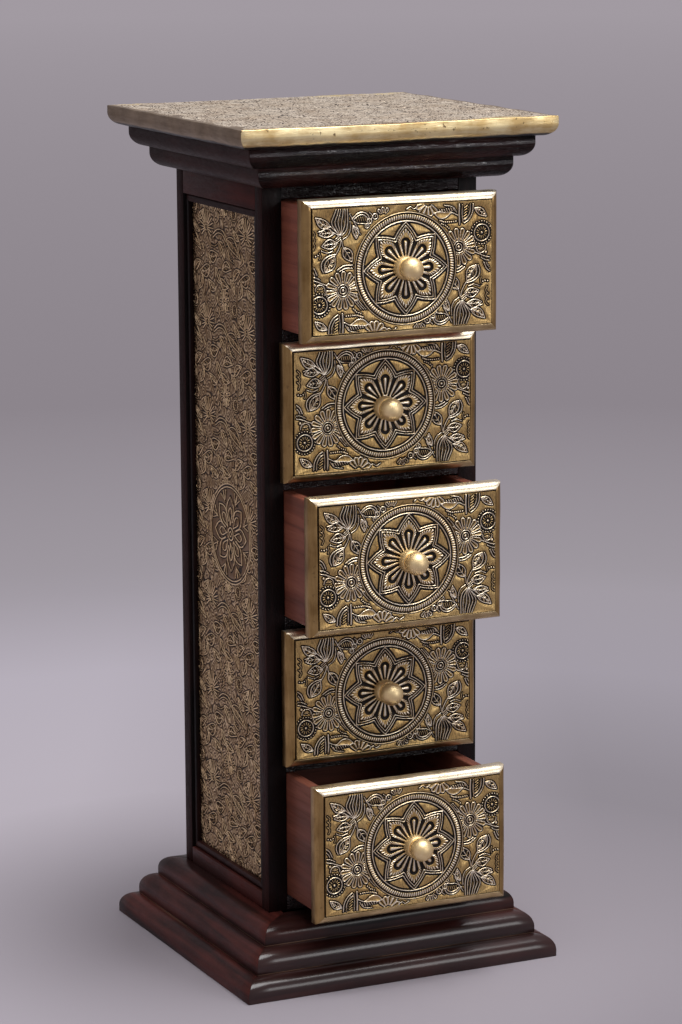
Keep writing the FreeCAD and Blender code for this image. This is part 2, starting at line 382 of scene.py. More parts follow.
def lacquered_wood(name, along, deep, warm, shine, gloss, brushed, polish=0.0, worn=(), thick=()):
    """Dark lacquer over wood, streaked and brushed along one axis, worn through or thick at some heights, the
    worn lines pale and also a painted edge highlight.
    """
    finish = Finish(name)
    streaks = finish.noise(95.0, stretched(along, 0.07), detail=5.0, distortion=0.6)
    clouds = finish.noise(16.0, detail=3.0)
    strokes = finish.noise(480.0, stretched(along, 0.24), detail=3.0, roughness=0.6, distortion=1.2)
    tone = finish.sum(finish.times(streaks, 0.6), finish.times(clouds, 0.4))
    colour = finish.ramp(finish.span(tone, 0.36, 0.64), (0.0, deep), (0.3, deep), (1.0, warm))
    # pale lines: worn lacquer and a painted edge highlight
    for level in worn:
        line = finish.band(level + WORN_AND_LIT_WIDTH, WORN_AND_LIT_WIDTH)
        colour = finish.mix(finish.times(line, finish.span(clouds, 0.35, 0.6)), colour, WORN_EDGE_AND_HIGHLIGHT)
    shining = gloss
    for level in thick:
        shining = finish.sum(shining, finish.times(finish.band(level, THICK_WIDTH), THICK_GLOSS))
    finish.shade(Base_Color=colour, Roughness=finish.span(strokes, 0.3, 0.7, *shine),
                 Specular_IOR_Level=shining, Coat_Weight=polish, Coat_Roughness=COAT_ROUGHNESS)
    finish.bump(strokes, brushed, 0.003)
    return finish.material


# The woods that face the sides (dark wood y, the side rails, the posts' sides, the plinth's sides) are
# stained a step lighter and redder than those that face the front: painted light on the sides of one
# lacquered wood.
dark_wood = {
    "x": lacquered_wood("dark wood of the front", "x", BLACK_STAIN, WINE_STAIN, (0.12, 0.32), 0.5, 0.6),
    "y": lacquered_wood("dark wood of the sides", "y", WINE_STAIN, WARM_STAIN, (0.4, 0.55), 0.12, 0.08),
    "z": lacquered_wood("dark wood of the posts", "z", BLACK_STAIN, WINE_STAIN, (0.36, 0.5), 0.14, 0.2)}
cornice_wood = lacquered_wood("cornice wood of the front", "x", BLACK_STAIN, WARM_STAIN, (0.06, 0.2), 0.12,
                              0.5, thick=SHOULDERS)
# post wood: the posts' side faces, stained lighter and redder than their fronts as painted light
post_wood = lacquered_wood("post wood of the sides", "z", WINE_STAIN, WARM_STAIN, (0.4, 0.55), 0.06, 0.2)
rail_wood = lacquered_wood("rail wood of the sides", "y", WARM_STAIN, RED_STAIN, (0.4, 0.55), 0.12, 0.08)
plinth_wood = {
    "x": lacquered_wood("plinth wood of the front", "x", WINE_STAIN, WARM_STAIN, (0.3, 0.4), 0.1, 0.06,
                        0.85, STEP_EDGES),
    "y": lacquered_wood("plinth wood of the sides", "y", WINE_STAIN, RED_STAIN, (0.3, 0.42), 0.14, 0.06,
                        0.0, STEP_EDGES),
    # under the drawers: a darker, less polished copy of the plinth's front wood, painted shade from the
    # drawers above
    "painted_shade": lacquered_wood("plinth wood under the drawers", "x", BLACK_STAIN, WARM_STAIN, (0.3, 0.4), 0.1,
                             0.06, 0.42, STEP_EDGES)}

DRAWER_STAINS = ((0.135, 0.040, 0.023), (0.265, 0.078, 0.045), (0.360, 0.120, 0.072))
DRAWER_PORES = (0.060, 0.018, 0.012)
# Each drawer's wood is lighter or darker by a factor: painted light, lightest on the top drawer and darkest
# on the bottom one.
DRAWER_PAINTED_LIGHT = dict(zip(DRAWERS, (1.45, 1.2, 1.0, 0.85, 0.74)))


def red_drawer_wood(name, along, shade):
    """Reddish wood of the drawer boxes, stained and rubbed down, lighter or darker by a factor that paints
    the light on each drawer.
    """
    finish = Finish(name)
    grain = stretched(along, 0.05)
    rings = finish.noise(60.0, grain, detail=6.0, distortion=1.2)
    pores = finish.noise(520.0, grain, detail=2.0, roughness=0.7)
    stains = [tuple(shade * part for part in stain) for stain in DRAWER_STAINS]
    colour = finish.ramp(finish.span(rings, 0.3, 0.7), *zip((0.0, 0.55, 1.0), stains))
    marked = finish.mix(finish.span(pores, 0.55, 0.75, 0.0, 0.4), colour, DRAWER_PORES)
    finish.shade(Base_Color=marked, Roughness=finish.span(pores, 0.3, 0.7, 0.42, 0.62))
    finish.bump(finish.sum(rings, pores), 0.12, 0.0006)
    return finish.material


drawer_wood = {(drawer, axis): red_drawer_wood(f"wood of {drawer} along {axis}", axis, shade)
               for drawer, shade in DRAWER_PAINTED_LIGHT.items() for axis in "xy"}


BARE_DARK = (0.10, 0.055, 0.030)
BARE_PALE = (0.20, 0.12, 0.07)


def bare_wood():
    """Pale brown unfinished wood inside the carcass."""
    finish = Finish("bare wood of the runners")
    rings = finish.noise(48.0, stretched("y", 0.06), detail=6.0, distortion=1.0)
    pores = finish.noise(420.0, stretched("y", 0.08), detail=2.0)
    colour = finish.ramp(finish.span(rings, 0.3, 0.7), (0.0, BARE_DARK), (1.0, BARE_PALE))
    finish.shade(Base_Color=colour, Roughness=finish.span(pores, 0.3, 0.7, 0.6, 0.8))
    finish.bump(finish.sum(rings, pores), 0.2, 0.0008)
    return finish.material


runner_wood = bare_wood()

TARNISH = (0.70, 0.58, 0.46)
SPOT = (0.16, 0.10, 0.05)
# Below this height, with a ragged line, the top slab's edge is black and not metal.
TOP_BLACK_BELOW = 0.5985
RAGGED = 0.6 * MM


def embossed_brass(name, patina, ground, crest, shine, metal=1.0, engraved=0.0):
    """Embossed brass sheet: dark patina in the hollows, rubbed bright on the ridges, where the pale crest
    colour also paints a highlight.
    """
    finish = Finish(name)
    tarnish = finish.noise(38.0, detail=4.0)
    stipple = finish.noise(900.0, detail=2.0)
    relief = finish.attribute("relief")
    level = finish.sum(relief, finish.span(stipple, 0.3, 0.7, -0.04, 0.04))
    if engraved:
        plain = finish.span(finish.off(relief, 0.5), 0.01, 0.06, 1.0, 0.0)
        lines = finish.span(finish.waves(150.0, 16.0), 0.45, 0.9, 0.0, engraved)
        level = finish.sum(level, finish.times(plain, lines), "SUBTRACT")
    colour = finish.ramp(level, (0.0, patina), (0.29, patina), (0.42, ground), (0.56, ground), (0.86, crest))
    dulled = finish.mix(finish.span(tarnish, 0.42, 0.72, 0.0, 0.5), colour, TARNISH, "MULTIPLY")
    finish.shade(Base_Color=dulled, Metallic=finish.span(level, 0.15, 0.42, 0.1, metal),
                 Roughness=finish.span(level, 0.3, 0.9, *shine), Specular_IOR_Level=0.2)
    finish.bump(finish.sum(stipple, tarnish), 0.2, 0.0004)
    return finish.material


def sheet_brass(name, along, bright, dull, shine=(0.26, 0.46), scuffs=0.5, black_below=None):
    """Plain brass sheet, rubbed along one axis, scuffed and spotted, and black, not metal, below a ragged
    line at a given height.
    """
    finish = Finish(name)
    tarnish = finish.noise(55.0, detail=5.0)
    scratches = finish.noise(420.0, stretched(along, 0.12), detail=3.0, roughness=0.7)
    spots = finish.noise(330.0, detail=2.0)
    worn = finish.sum(finish.times(tarnish, 0.6), finish.times(scratches, 0.4))
    colour = finish.mix(finish.span(worn, 0.4, 0.62), bright, dull)
    colour = finish.mix(finish.span(spots, 0.66, 0.74, 0.0, scuffs), colour, SPOT)
    metal = 1.0
    if black_below:
        height = finish.sum(finish.height(), finish.span(tarnish, 0.3, 0.7, -RAGGED, RAGGED))
        metal = finish.span(height, black_below - RAGGED, black_below + RAGGED)
        colour = finish.mix(metal, BLACK_STAIN, colour)
    finish.shade(Base_Color=colour, Metallic=metal, Roughness=finish.span(scratches, 0.3, 0.7, *shine))
    finish.bump(finish.sum(scratches, tarnish), 0.14, 0.0005)
    return finish.material


# The pale crest colours are the ridges rubbed bright and also a painted highlight on them.
front_brass = embossed_brass("embossed brass of the fronts", (0.008, 0.0055, 0.004), (0.60, 0.415, 0.175),
                             (1.0, 0.93, 0.78), (0.46, 0.30), engraved=0.12)
# The sides' brass has a far darker ground than the fronts': painted shade on the less lit sides.
side_brass = embossed_brass("embossed brass of the sides", (0.020, 0.012, 0.0075), (0.245, 0.151, 0.082),
                            (1.0, 0.765, 0.46), (0.50, 0.32))
top_brass = embossed_brass("embossed brass of the top", (0.030, 0.023, 0.018), (0.32, 0.25, 0.19),
                           (0.88, 0.78, 0.64), (0.5, 0.36), 0.6)
# The border strips are copies of one brass: the upper ones near white, a painted highlight from the overhead
# light; the lower and side ones darker, painted shade.
lower_border = sheet_brass("brass of the lower borders", "x", (0.66, 0.50, 0.28), (0.38, 0.26, 0.12))
upper_border = sheet_brass("brass of the upper borders", "x", (1.0, 0.91, 0.73), (0.84, 0.70, 0.47))
side_border = sheet_brass("brass of the side borders", "z", (0.45, 0.29, 0.12), (0.26, 0.155, 0.058))
# The top slab's front edge is painted bright and its side edges dark: one brass, with painted light on the
# front and painted shade on the sides.
edge_brass = {
    "x": sheet_brass("brass of the top's front edge", "x", (1.0, 0.85, 0.50), (0.66, 0.47, 0.21),
                     (0.30, 0.52), 0.9, TOP_BLACK_BELOW),
    "y": sheet_brass("brass of the top's side edges", "y", (0.35, 0.265, 0.18), (0.24, 0.18, 0.12),
                     (0.36, 0.52), 0.5, TOP_BLACK_BELOW)}
knob_brass = sheet_brass("polished brass of the knobs", "y", (0.97, 0.78, 0.45), (0.87, 0.66, 0.35),
                         (0.44, 0.54), 0.15)


# Drawing embossed designs

class Sheet:
    """Brass sheet laid out flat, u to the right and v up, on which a design is raised."""

    def __init__(self, width, height, step):
        self.u = np.linspace(-width / 2, width / 2, int(round(width / step)) + 1)
        self.v = np.linspace(-height / 2, height / 2, int(round(height / step)) + 1)
        size = (len(self.v), len(self.u))
        self.ridge = np.zeros(size)
        self.groove = np.zeros(size)
        self.near = np.full(size, FAR)

    def window(self, low, high):
        """The part of the grid between two corners, and its coordinates."""
        left, right = np.searchsorted(self.u, (low[0], high[0]))
        lower, upper = np.searchsorted(self.v, (low[1], high[1]))
        return (slice(lower, upper), slice(left, right)), self.u[None, left:right], self.v[lower:upper, None]

    def disc(self, centre, radius):
        """The window round a disc, and its coordinates from the disc's centre."""
        place, u, v = self.window(np.array(centre) - radius - 1, np.array(centre) + radius + 1)
        return place, u - centre[0], v - centre[1]

    def around(self, points, margin):
        """The window round a line, and each place's distance from that line."""
        line = np.asarray(points, float)
        place, u, v = self.window(line.min(0) - margin, line.max(0) + margin)
        square = np.full((v.size, u.size), FAR)
        for start, end in zip(line[:-1], line[1:]):
            run = end - start
            share = ((u - start[0]) * run[0] + (v - start[1]) * run[1]) / max(run @ run, 1e-9)
            share = np.clip(share, 0, 1)
            offset = (u - start[0] - share * run[0]) ** 2 + (v - start[1] - share * run[1]) ** 2
            square = np.minimum(square, offset)
        return place, np.sqrt(square)

    def stroke(self, points, width=LINE, height=RAISED, reach=0.0):
        """Raises a ridge along a line, with a hollow on both sides."""
        half = width / 2
        place, distance = self.around(points, half + MOAT * 1.2 + reach)
        crest = height * np.clip(1.1 - (distance / half) ** 2, 0, 1)
        hollow = np.clip(1.25 - ((distance - half - MOAT / 2) / (MOAT * 0.55)) ** 2, 0, 1)
        self.ridge[place] = np.maximum(self.ridge[place], crest)
        self.groove[place] = np.maximum(self.groove[place], hollow)
        self.near[place] = np.minimum(self.near[place], distance - half)

    def cut(self, points, width=SLOT):
        """Cuts a dark slot along a line, through whatever is raised there."""
        place, distance = self.around(points, width)
        depth = np.clip(1.3 - (distance / (width / 2)) ** 2, 0, 1)
        self.ridge[place] *= 1 - depth
        self.groove[place] = np.maximum(self.groove[place], depth)

    def inside(self, outline):
        """The window round a closed outline, and which of its places lie inside."""
        shape = np.asarray(outline, float)
        place, u, v = self.window(shape.min(0) - 0.5, shape.max(0) + 0.5)
        within = np.zeros((v.size, u.size), bool)
        for (u0, v0), (u1, v1) in zip(shape, np.roll(shape, -1, axis=0)):
            crossing = (v0 > v) != (v1 > v)
            within ^= crossing & (u < u0 + (v - v0) * (u1 - u0) / (v1 - v0 if v1 != v0 else 1e-9))
        return place, within

    def body(self, outline, height=BODY):
        """Raises what lies inside a closed outline."""
        place, within = self.inside(outline)
        self.ridge[place] = np.where(within, np.maximum(self.ridge[place], height), self.ridge[place])

    def hollow(self, outline, depth):
        """Sinks what lies inside a closed outline, and clears it of other lines."""
        place, within = self.inside(outline)
        self.ridge[place] = np.where(within, 0, self.ridge[place])
        self.groove[place] = np.where(within, depth, self.groove[place])
        self.near[place] = np.where(within, np.minimum(self.near[place], 0), self.near[place])

    def foliage(self, height, depth, lean, size=FILL_SIZE, pitch=FILL_PITCH):
        """Fills the ground between the motifs with small veined leaves, each turned its own way."""
        columns, rows = [int((axis[-1] - axis[0]) / size) + 3 for axis in (self.u, self.v)]
        seeds = RNG.uniform(0.1, 0.9, (rows, columns, 2))
        turns = RNG.normal(lean, 1.0, (rows, columns)) + np.pi * RNG.integers(0, 2, (rows, columns))
        u = (self.u[None, :] - self.u[0]) / size + 1
        v = (self.v[:, None] - self.v[0]) / size + 1
        column = np.broadcast_to(np.floor(u).astype(int), self.ridge.shape)
        row = np.broadcast_to(np.floor(v).astype(int), self.ridge.shape)
        nearest = np.full(self.ridge.shape, FAR)
        second = nearest.copy()
        veins = np.zeros(self.ridge.shape)
        for aside in (-1, 0, 1):
            for above in (-1, 0, 1):
                pick_row = np.clip(row + above, 0, rows - 1)
                pick_column = np.clip(column + aside, 0, columns - 1)
                seed = seeds[pick_row, pick_column]
                turn = turns[pick_row, pick_column]
                du = size * (u - pick_column - seed[..., 0])
                dv = size * (v - pick_row - seed[..., 1])
                along = du * np.cos(turn) + dv * np.sin(turn)
                across = np.abs(dv * np.cos(turn) - du * np.sin(turn))
                reach = np.hypot(along / 1.7, across)
                closer = reach < nearest
                second = np.minimum(second, np.where(closer, nearest, reach))
                nearest = np.where(closer, reach, nearest)
                veins = np.where(closer, along - 0.6 * across, veins)
        inset = (second - nearest) / 2
        wave = np.clip(0.5 + 0.7 * np.cos(2 * np.pi * veins / pitch), 0, 1)
        outline = np.clip(1.2 - ((inset - 0.7) / 0.4) ** 2, 0, 1)
        wave = np.where(inset < 1.1, outline, wave)
        ground = np.clip((self.near - 0.5) / 0.4, 0, 1)
        self.ridge = np.maximum(self.ridge, height * wave * ground)
        self.groove = np.maximum(self.groove, depth * (1 - wave) * ground)

    def rim(self):
        """Fades the design out along the sheet's plain rim."""
        rim_u = np.clip((self.u[-1] - np.abs(self.u)) / EDGE_FADE, 0, 1)
        rim_v = np.clip((self.v[-1] - np.abs(self.v)) / EDGE_FADE, 0, 1)
        return rim_u[None, :] * rim_v[:, None]

    def heights(self):
        """Heights over the flat sheet."""
        return self.rim() * (self.ridge - TRENCH * self.groove * np.clip(1 - self.ridge / 0.12, 0, 1))

    def levels(self):
        """How rubbed each place is, from 0 in the dark hollows to 1 on the bright ridges."""
        cover = np.clip(self.ridge / 0.16, 0, 1)
        rubbed = 0.5 * np.clip((self.ridge - BODY) / (RAISED - BODY), 0, 1)
        return 0.5 + self.rim() * (rubbed - 0.5 * np.clip(1.4 * self.groove, 0, 1) * (1 - cover))


class Pen:
    """Draws motifs on a sheet about an origin, upright or turned by half a turn."""

    def __init__(self, sheet, origin, turn=1, wider=0.0, sunk=HOLLOW, reach=0.0):
        self.sheet = sheet
        self.origin = np.array(origin, float)
        self.turn = turn
        self.wider = wider
        self.sunk = sunk
        self.reach = reach

    def place(self, points):
        return self.origin + self.turn * np.asarray(points, float)

    def line(self, points, width=LINE, height=RAISED):
        self.sheet.stroke(self.place(points), width + self.wider, height, self.reach)

    def sweep(self, *points, width=LINE, height=RAISED):
        """A smooth line through a few points."""
        self.line(curve(*points), width, height)

    def slot(self, points, width=SLOT):
        self.sheet.cut(self.place(points), width + self.wider / 2)

    def body(self, outline, height=BODY):
        self.sheet.body(self.place(outline), height)

    def hollow(self, outline):
        self.sheet.hollow(self.place(outline), self.sunk)


def curve(*points, steps=6):
    """Points along a smooth line through a few points."""
    given = np.array(points, float)
    ends = np.vstack([2 * given[0] - given[1], given, 2 * given[-1] - given[-2]])
    t = np.linspace(0, 1, steps, endpoint=False)[:, None]
    runs = []
    for a, b, c, d in zip(ends[:-3], ends[1:-2], ends[2:-1], ends[3:]):
        bend = 2 * a - 5 * b + 4 * c - d
        twist = 3 * b - a - 3 * c + d
        runs.append(b + 0.5 * ((c - a) * t + bend * t ** 2 + twist * t ** 3))
    return np.vstack(runs + [given[-1:]])


def circle(centre, radius, steps=36, start=0.0, end=360.0):
    """Points round a circle, or along an arc of it, with angles in degrees."""
    angle = np.radians(np.linspace(start, end, steps + 1))
    return np.array(centre) + radius * np.column_stack([np.cos(angle), np.sin(angle)])


def aimed(centre, angle, points):
    """Points given along and across a direction in degrees, placed about a centre."""
    turn = math.radians(angle)
    along = np.array([math.cos(turn), math.sin(turn)])
    across = np.array([-along[1], along[0]])
    shape = np.asarray(points, float)
    return np.array(centre) + shape[:, :1] * along + shape[:, 1:] * across


def spoke(centre, angle, *distances):
    """Points at some distances from a centre, in one direction in degrees."""
    return aimed(centre, angle, [(reach, 0.0) for reach in distances])


def drop(centre, angle, inner, outer, width):
    """Outline of a drop-shaped petal that points away from a centre."""
    share = np.linspace(0, 1, 10)
    half = width / 2 * np.sin(np.pi * share ** 1.7) ** 0.8
    side = np.column_stack([inner + (outer - inner) * share, half])
    return aimed(centre, angle, np.vstack([side, side[::-1] * (1, -1)]))


def finger(centre, angle, inner, outer, width):
    """Outline of a straight petal with a round end, that widens away from a centre."""
    tip = circle((outer - width / 2, 0), width / 2, steps=8, start=-85, end=85)
    return aimed(centre, angle, np.vstack([[(inner, -0.2 * width)], tip, [(inner, 0.2 * width)]]))


def petal(pen, centre, angle, inner, outer, width, line=FINE):
    """A raised petal with a slot along its middle."""
    outline = finger(centre, angle, inner, outer, width)
    length = outer - inner
    pen.body(outline)
    pen.line(outline, line)
    pen.slot(spoke(centre, angle, inner + 0.2 * length, inner + 0.86 * length), 0.8)


def leaf(pen, base, tip, width, bow=0.1, veins=4, fullness=0.75):
    """A leaf with a raised outline, midrib and veins over a dark hollow."""
    base = np.array(base, float)
    axis = np.array(tip, float) - base
    length = np.hypot(*axis)
    across = np.array([-axis[1], axis[0]]) / length
    t = np.linspace(0, 1, 13)[:, None]
    rib = base + axis * t + across * bow * length * np.sin(np.pi * t)
    half = width / 2 * np.sin(np.pi * t ** fullness)
    pen.hollow(np.vstack([rib + across * half, (rib - across * half)[::-1]]))
    pen.line(rib + across * half)
    pen.line(rib - across * half)
    pen.line(rib[:11], FINE)
    for root in np.linspace(1, 8, veins).round().astype(int):
        for side in (-1, 1):
            pen.line([rib[root], rib[root + 2] + side * across * half[root + 2] * 0.66], VEIN, 0.4)


def dot(pen, spot, width, height=RAISED):
    """A round bead."""
    pen.line([spot, spot], width, height)


def row(pen, points, width=1.1):
    """A row of small round beads."""
    for spot in points:
        dot(pen, spot, width)


def hatch(pen, start, end, step, count, width=FINE, height=LOW):
    """A row of short strokes, each a step on from the one before."""
    for number in range(count):
        shift = number * np.array(step)
        pen.line([start + shift, end + shift], width, height)


def daisy(pen, centre, petals, inner, outer, width, first=16.0):
    """A round flower of drop-shaped petals about a ringed eye."""
    for number in range(petals):
        petal(pen, centre, first + 360 * number / petals, inner, outer, width)
    dot(pen, centre, 2.0, RAISED * 1.1)
    for radius in (2.3, inner * 0.82):
        pen.line(circle(centre, radius), FINE)


def ringed_flower(pen, centre, radius):
    """A small flower in a ring, with a circle of dots round it."""
    dot(pen, centre, 1.7)
    for number in range(13):
        pen.line(spoke(centre, 360 * number / 13, radius * 0.42, radius * 0.70), FINE, LOW)
    pen.line(circle(centre, radius), RING_LINE)
    row(pen, circle(centre, radius * 1.38, steps=24)[:-1], 1.0)


def tulip(pen):
    """A tulip of long blades over its knot."""
    for points in (((-49.0, 28.2), (-52.6, 34.0), (-50.8, 39.4), (-49.2, 43.0)),
                   ((-47.6, 28.0), (-50.2, 34.0), (-48.4, 39.4), (-47.4, 43.0)),
                   ((-46.4, 28.4), (-47.8, 34.4), (-46.4, 40.0), (-45.8, 43.0)),
                   ((-45.4, 28.2), (-45.2, 34.2), (-44.2, 39.8), (-44.0, 43.0)),
                   ((-44.8, 27.6), (-43.0, 31.6), (-42.4, 36.4), (-42.6, 43.0))):
        pen.sweep((-46.4, 25.0), *points, width=BLADE_LINE)
    pen.sweep((-45.4, 25.2), (-41.8, 28.6), (-40.6, 34.2), (-40.8, 43.0))
    pen.sweep((-44.4, 22.6), (-40.4, 25.2), (-38.6, 30.0), (-38.8, 34.6), width=FINE)
    hatch(pen, (-49.145, 20.3), (-45.745, 22.9), (-0.455, 1.3), 3, height=RAISED)


def tulip_leaves(pen):
    """Leaves to the left of the tulip, from the top down."""
    pen.sweep((-47.6, 26.4), (-50.6, 29.4), (-54.2, 32.4))
    leaf(pen, (-53.8, 31.6), (-64.6, 38.2), 5.6, 0.08, 6, 0.85)
    pen.sweep((-47.4, 25.4), (-50.8, 27.4), (-56.0, 29.8), (-62.6, 28.6))
    leaf(pen, (-50.8, 26.8), (-62.0, 26.6), 5.8, -0.08, 4, 1.0)
    leaf(pen, (-48.8, 19.6), (-60.0, 18.6), 6.4, -0.06, 4, 0.9)
    pen.sweep((-60.4, 15.6), (-56.0, 14.0), (-51.8, 15.2), width=FINE)


def large_leaf(pen):
    """The stem down to the large leaf, and the leaf beside it."""
    pen.sweep((-45.6, 22.0), (-46.4, 18.6), (-48.4, 14.6), (-50.2, 12.0))
    pen.sweep((-45.0, 21.6), (-44.6, 18.8), (-44.0, 16.8), width=FINE)
    pen.sweep((-50.2, 12.8), (-55.4, 11.6), (-59.6, 8.6), (-60.6, 4.4), (-59.2, 0.8))
    leaf(pen, (-57.8, 0.8), (-50.6, 11.6), 7.4, -0.02, 6, 0.95)
    leaf(pen, (-44.0, 16.8), (-37.4, 7.0), 6.6, 0.02, 3, 0.9)


def arched_daisy(pen):
    """The large daisy under its arch."""
    pen.sweep((-48.8, 1.6), (-45.2, 3.9), (-42.0, 4.8), (-37.0, 4.6))
    pen.sweep((-47.0, 0.8), (-43.6, 2.4), (-40.8, 2.9), (-37.0, 2.5), width=FINE)
    hatch(pen, (-37.6, -2.6), (-35.4, -3.6), (0.4, -2.2), 5)
    for inset in (0.0, 1.7, 3.4):
        pen.sweep((-37.8 + inset, -15.4), (-35.4 + inset, -20.6), (-30.6 + inset, -26.2), width=FINE)
    daisy(pen, (-44.3, -12.4), 15, 5.0, 13.0, 3.0)


def corner_flower(pen):
    """The ringed flower in the corner, and the small bud over it."""
    ringed_flower(pen, (-62.1, -21.5), 5.8)
    bud = (-61.6, -11.2)
    pen.line(circle(bud, 3.6, steps=18, start=-10, end=190), RING_LINE)
    for angle in (30, 60, 90, 120, 150):
        pen.line(spoke(bud, angle, 0.6, 2.4), FINE, LOW)
    pen.sweep((-68.2, -4.2), (-64.4, -5.0), (-60.6, -6.6), (-56.6, -8.2))
    pen.sweep((-68.2, -1.8), (-65.0, -2.4), (-61.6, -4.2), width=FINE)
    dot(pen, (-65.4, -7.6), 1.9)


def margin_ends(pen):
    """Worn ends of the next motifs along the margin."""
    pen.sweep((-68.2, 5.4), (-65.8, 3.4), (-63.8, -0.8))
    pen.sweep((-68.0, 2.8), (-66.6, 1.2), (-65.6, -0.8), width=FINE)
    row(pen, [(-66.8, 12.4), (-64.8, 12.0), (-63.0, 12.6)], 1.2)
    pen.sweep((-61.8, 14.2), (-61.2, 11.6), (-61.8, 9.6), width=FINE, height=LOW)
    for lift in (0.0, 4.0, 8.0):
        pen.sweep((-67.4, 29.4 - lift), (-65.4, 27.2 - lift), (-66.4, 24.4 - lift), width=FINE, height=LOW)


def spray_foot(pen):
    """The foot of the spray: feathered leaf, arched leaf and stem."""
    leaf(pen, (-56.6, -38.6), (-65.6, -32.6), 4.6, 0.05, 4, 0.9)
    pen.sweep((-55.4, -41.6), (-54.8, -36.0), (-52.0, -31.2), (-48.4, -28.8))
    pen.sweep((-53.2, -41.6), (-52.8, -36.6), (-50.6, -32.6), (-48.2, -31.0), width=FINE)
    pen.sweep((-47.4, -29.4), (-46.8, -35.0), (-47.0, -41.6), width=FINE)
    hatch(pen, (-51.0, -40.8), (-48.6, -39.2), (0.2, 2.0), 5)
    pen.sweep((-44.9, -28.2), (-44.5, -35.0), (-44.7, -41.8), width=1.1)


def toothed_leaf(pen):
    """A long leaf with a plain upper half and a toothed lower half, and the half flower at the lower edge."""
    upper = curve((-43.6, -34.4), (-38.8, -36.4), (-35.0, -33.8), (-31.6, -32.8), (-28.2, -33.8),
                  (-25.4, -36.4))
    lower = curve((-25.4, -36.8), (-29.4, -37.6), (-33.2, -36.8), (-38.8, -36.8))
    pen.body(np.vstack([upper[8:], lower]))
    pen.line(upper)
    pen.line(lower, FINE)
    hatch(pen, (-40.8, -37.9), (-39.8, -39.9), (1.75, 0.18), 7, RING_LINE, RAISED)
    pen.sweep((-42.6, -36.6), (-39.6, -40.4), (-33.0, -41.8), width=FINE)
    row(pen, curve((-42.0, -30.2), (-37.0, -30.0), (-32.6, -30.4), (-29.6, -31.6), steps=3), 1.25)
    row(pen, curve((-36.6, -25.6), (-34.0, -27.8), (-31.0, -29.0), steps=2), 1.1)
    for angle in (22, 50, 78, 104, 130):
        petal(pen, (-20.6, -44.4), angle, 3.0, 9.6, 3.4, LINE)


def berries(pen):
    """The leaf and berries between the tulip and the ring, and the buds along the upper edge."""
    for inset in (0.0, 1.7):
        pen.sweep((-37.4 + inset, 36.0), (-33.6 + 0.5 * inset, 39.4 - 0.8 * inset), (-29.4, 40.4 - inset),
                  (-25.6 - 0.4 * inset, 38.6 - inset), (-24.0 - inset, 35.2))
    pen.sweep((-36.6, 35.2), (-33.0, 33.0), (-29.0, 32.6), (-25.4, 32.0), width=FINE)
    hatch(pen, (-34.0, 37.0), (-33.2, 34.4), (1.6, 0.0), 6)
    pen.sweep((-39.0, 39.6), (-36.4, 35.2), (-32.4, 28.6), width=FINE)
    leaf(pen, (-36.6, 31.4), (-34.2, 22.6), 4.2, 0.1, 4, 0.9)
    pen.sweep((-35.8, 31.4), (-33.0, 27.6), (-31.0, 25.4), width=FINE)
    for spot, size in (((-26.0, 30.8), 1.5), ((-24.2, 34.0), 1.7), ((-19.8, 37.0), 1.9)):
        pen.line(circle(spot, size, steps=18), RING_LINE)
        dot(pen, spot, 1.0)
    pen.sweep((-24.0, 39.8), (-22.0, 37.8), (-22.8, 35.2), width=FINE)
    for angle in (60, 95, 130):
        petal(pen, (-13.4, 36.6), angle, 2.6, 6.4, 2.0)
    pen.sweep((4.0, 40.6), (7.0, 42.2), (9.6, 40.6), (12.4, 42.0), width=FINE)


HALF_SPRAY = (tulip, tulip_leaves, large_leaf, arched_daisy, corner_flower, margin_ends, spray_foot,
              toothed_leaf, berries)

# The stamped medallion of the drawer fronts
MEDALLION = 39.4
ROPE = 35.7
ROPE_HALF = 1.55
ROPE_TURNS = 128
PETAL_TIP = 32.4
PETAL_WIRE = (0.66, 0.5)
NOTCH_ROUND = 0.35
BODY_TIP = 27.6
DROP_FOOT = 8.0
DROP_LENGTH = 9.8
SOFT = 0.35


def wire(distance, width, height):
    """The section of a thin round wire."""
    return height * np.clip(1.1 - (distance / (width / 2)) ** 2, 0, 1)


def trench(distance, half):
    """The section of a narrow hollow."""
    return np.clip(1.25 - (distance / half) ** 2, 0, 1)


def rope_ring(out, angle):
    """Heights of the rope between thin wires round the medallion, and its hollows."""
    rope = np.clip(1 - ((out - ROPE) / ROPE_HALF) ** 2, 0, 1) ** 0.5
    lay = 0.5 + 0.5 * np.cos(ROPE_TURNS * angle + 0.5 * (out - ROPE))
    rings = 0.56 * rope * lay ** 0.7
    for ring, width, height in ((38.6, 0.75, 0.36), (32.6, 0.8, 0.50)):
        rings = np.maximum(rings, wire(out - ring, width, height))
    sunk = ((33.6, 0.8), (37.7, 0.8), (31.6, 0.6), (39.2, 0.45))
    hollows = [trench(out - ring, half) for ring, half in sunk]
    return rings, hollows + [(rope > 0) * (1 - lay) ** 1.5]


def petal_edge(out, fold):
    """Distance inside the outline of two neighbouring pointed petals, joined by a rounded notch."""
    arches = []
    for turn in (fold, np.pi / 4 - fold):
        down = np.clip(PETAL_TIP - out * np.cos(turn), -6.0, 21.0)
        slope = 1.06 - down / 19.5
        arches.append((1.06 * down - down ** 2 / 39 - out * np.sin(turn)) / np.sqrt(1 + slope ** 2))
    return NOTCH_ROUND * np.logaddexp(arches[0] / NOTCH_ROUND, arches[1] / NOTCH_ROUND)


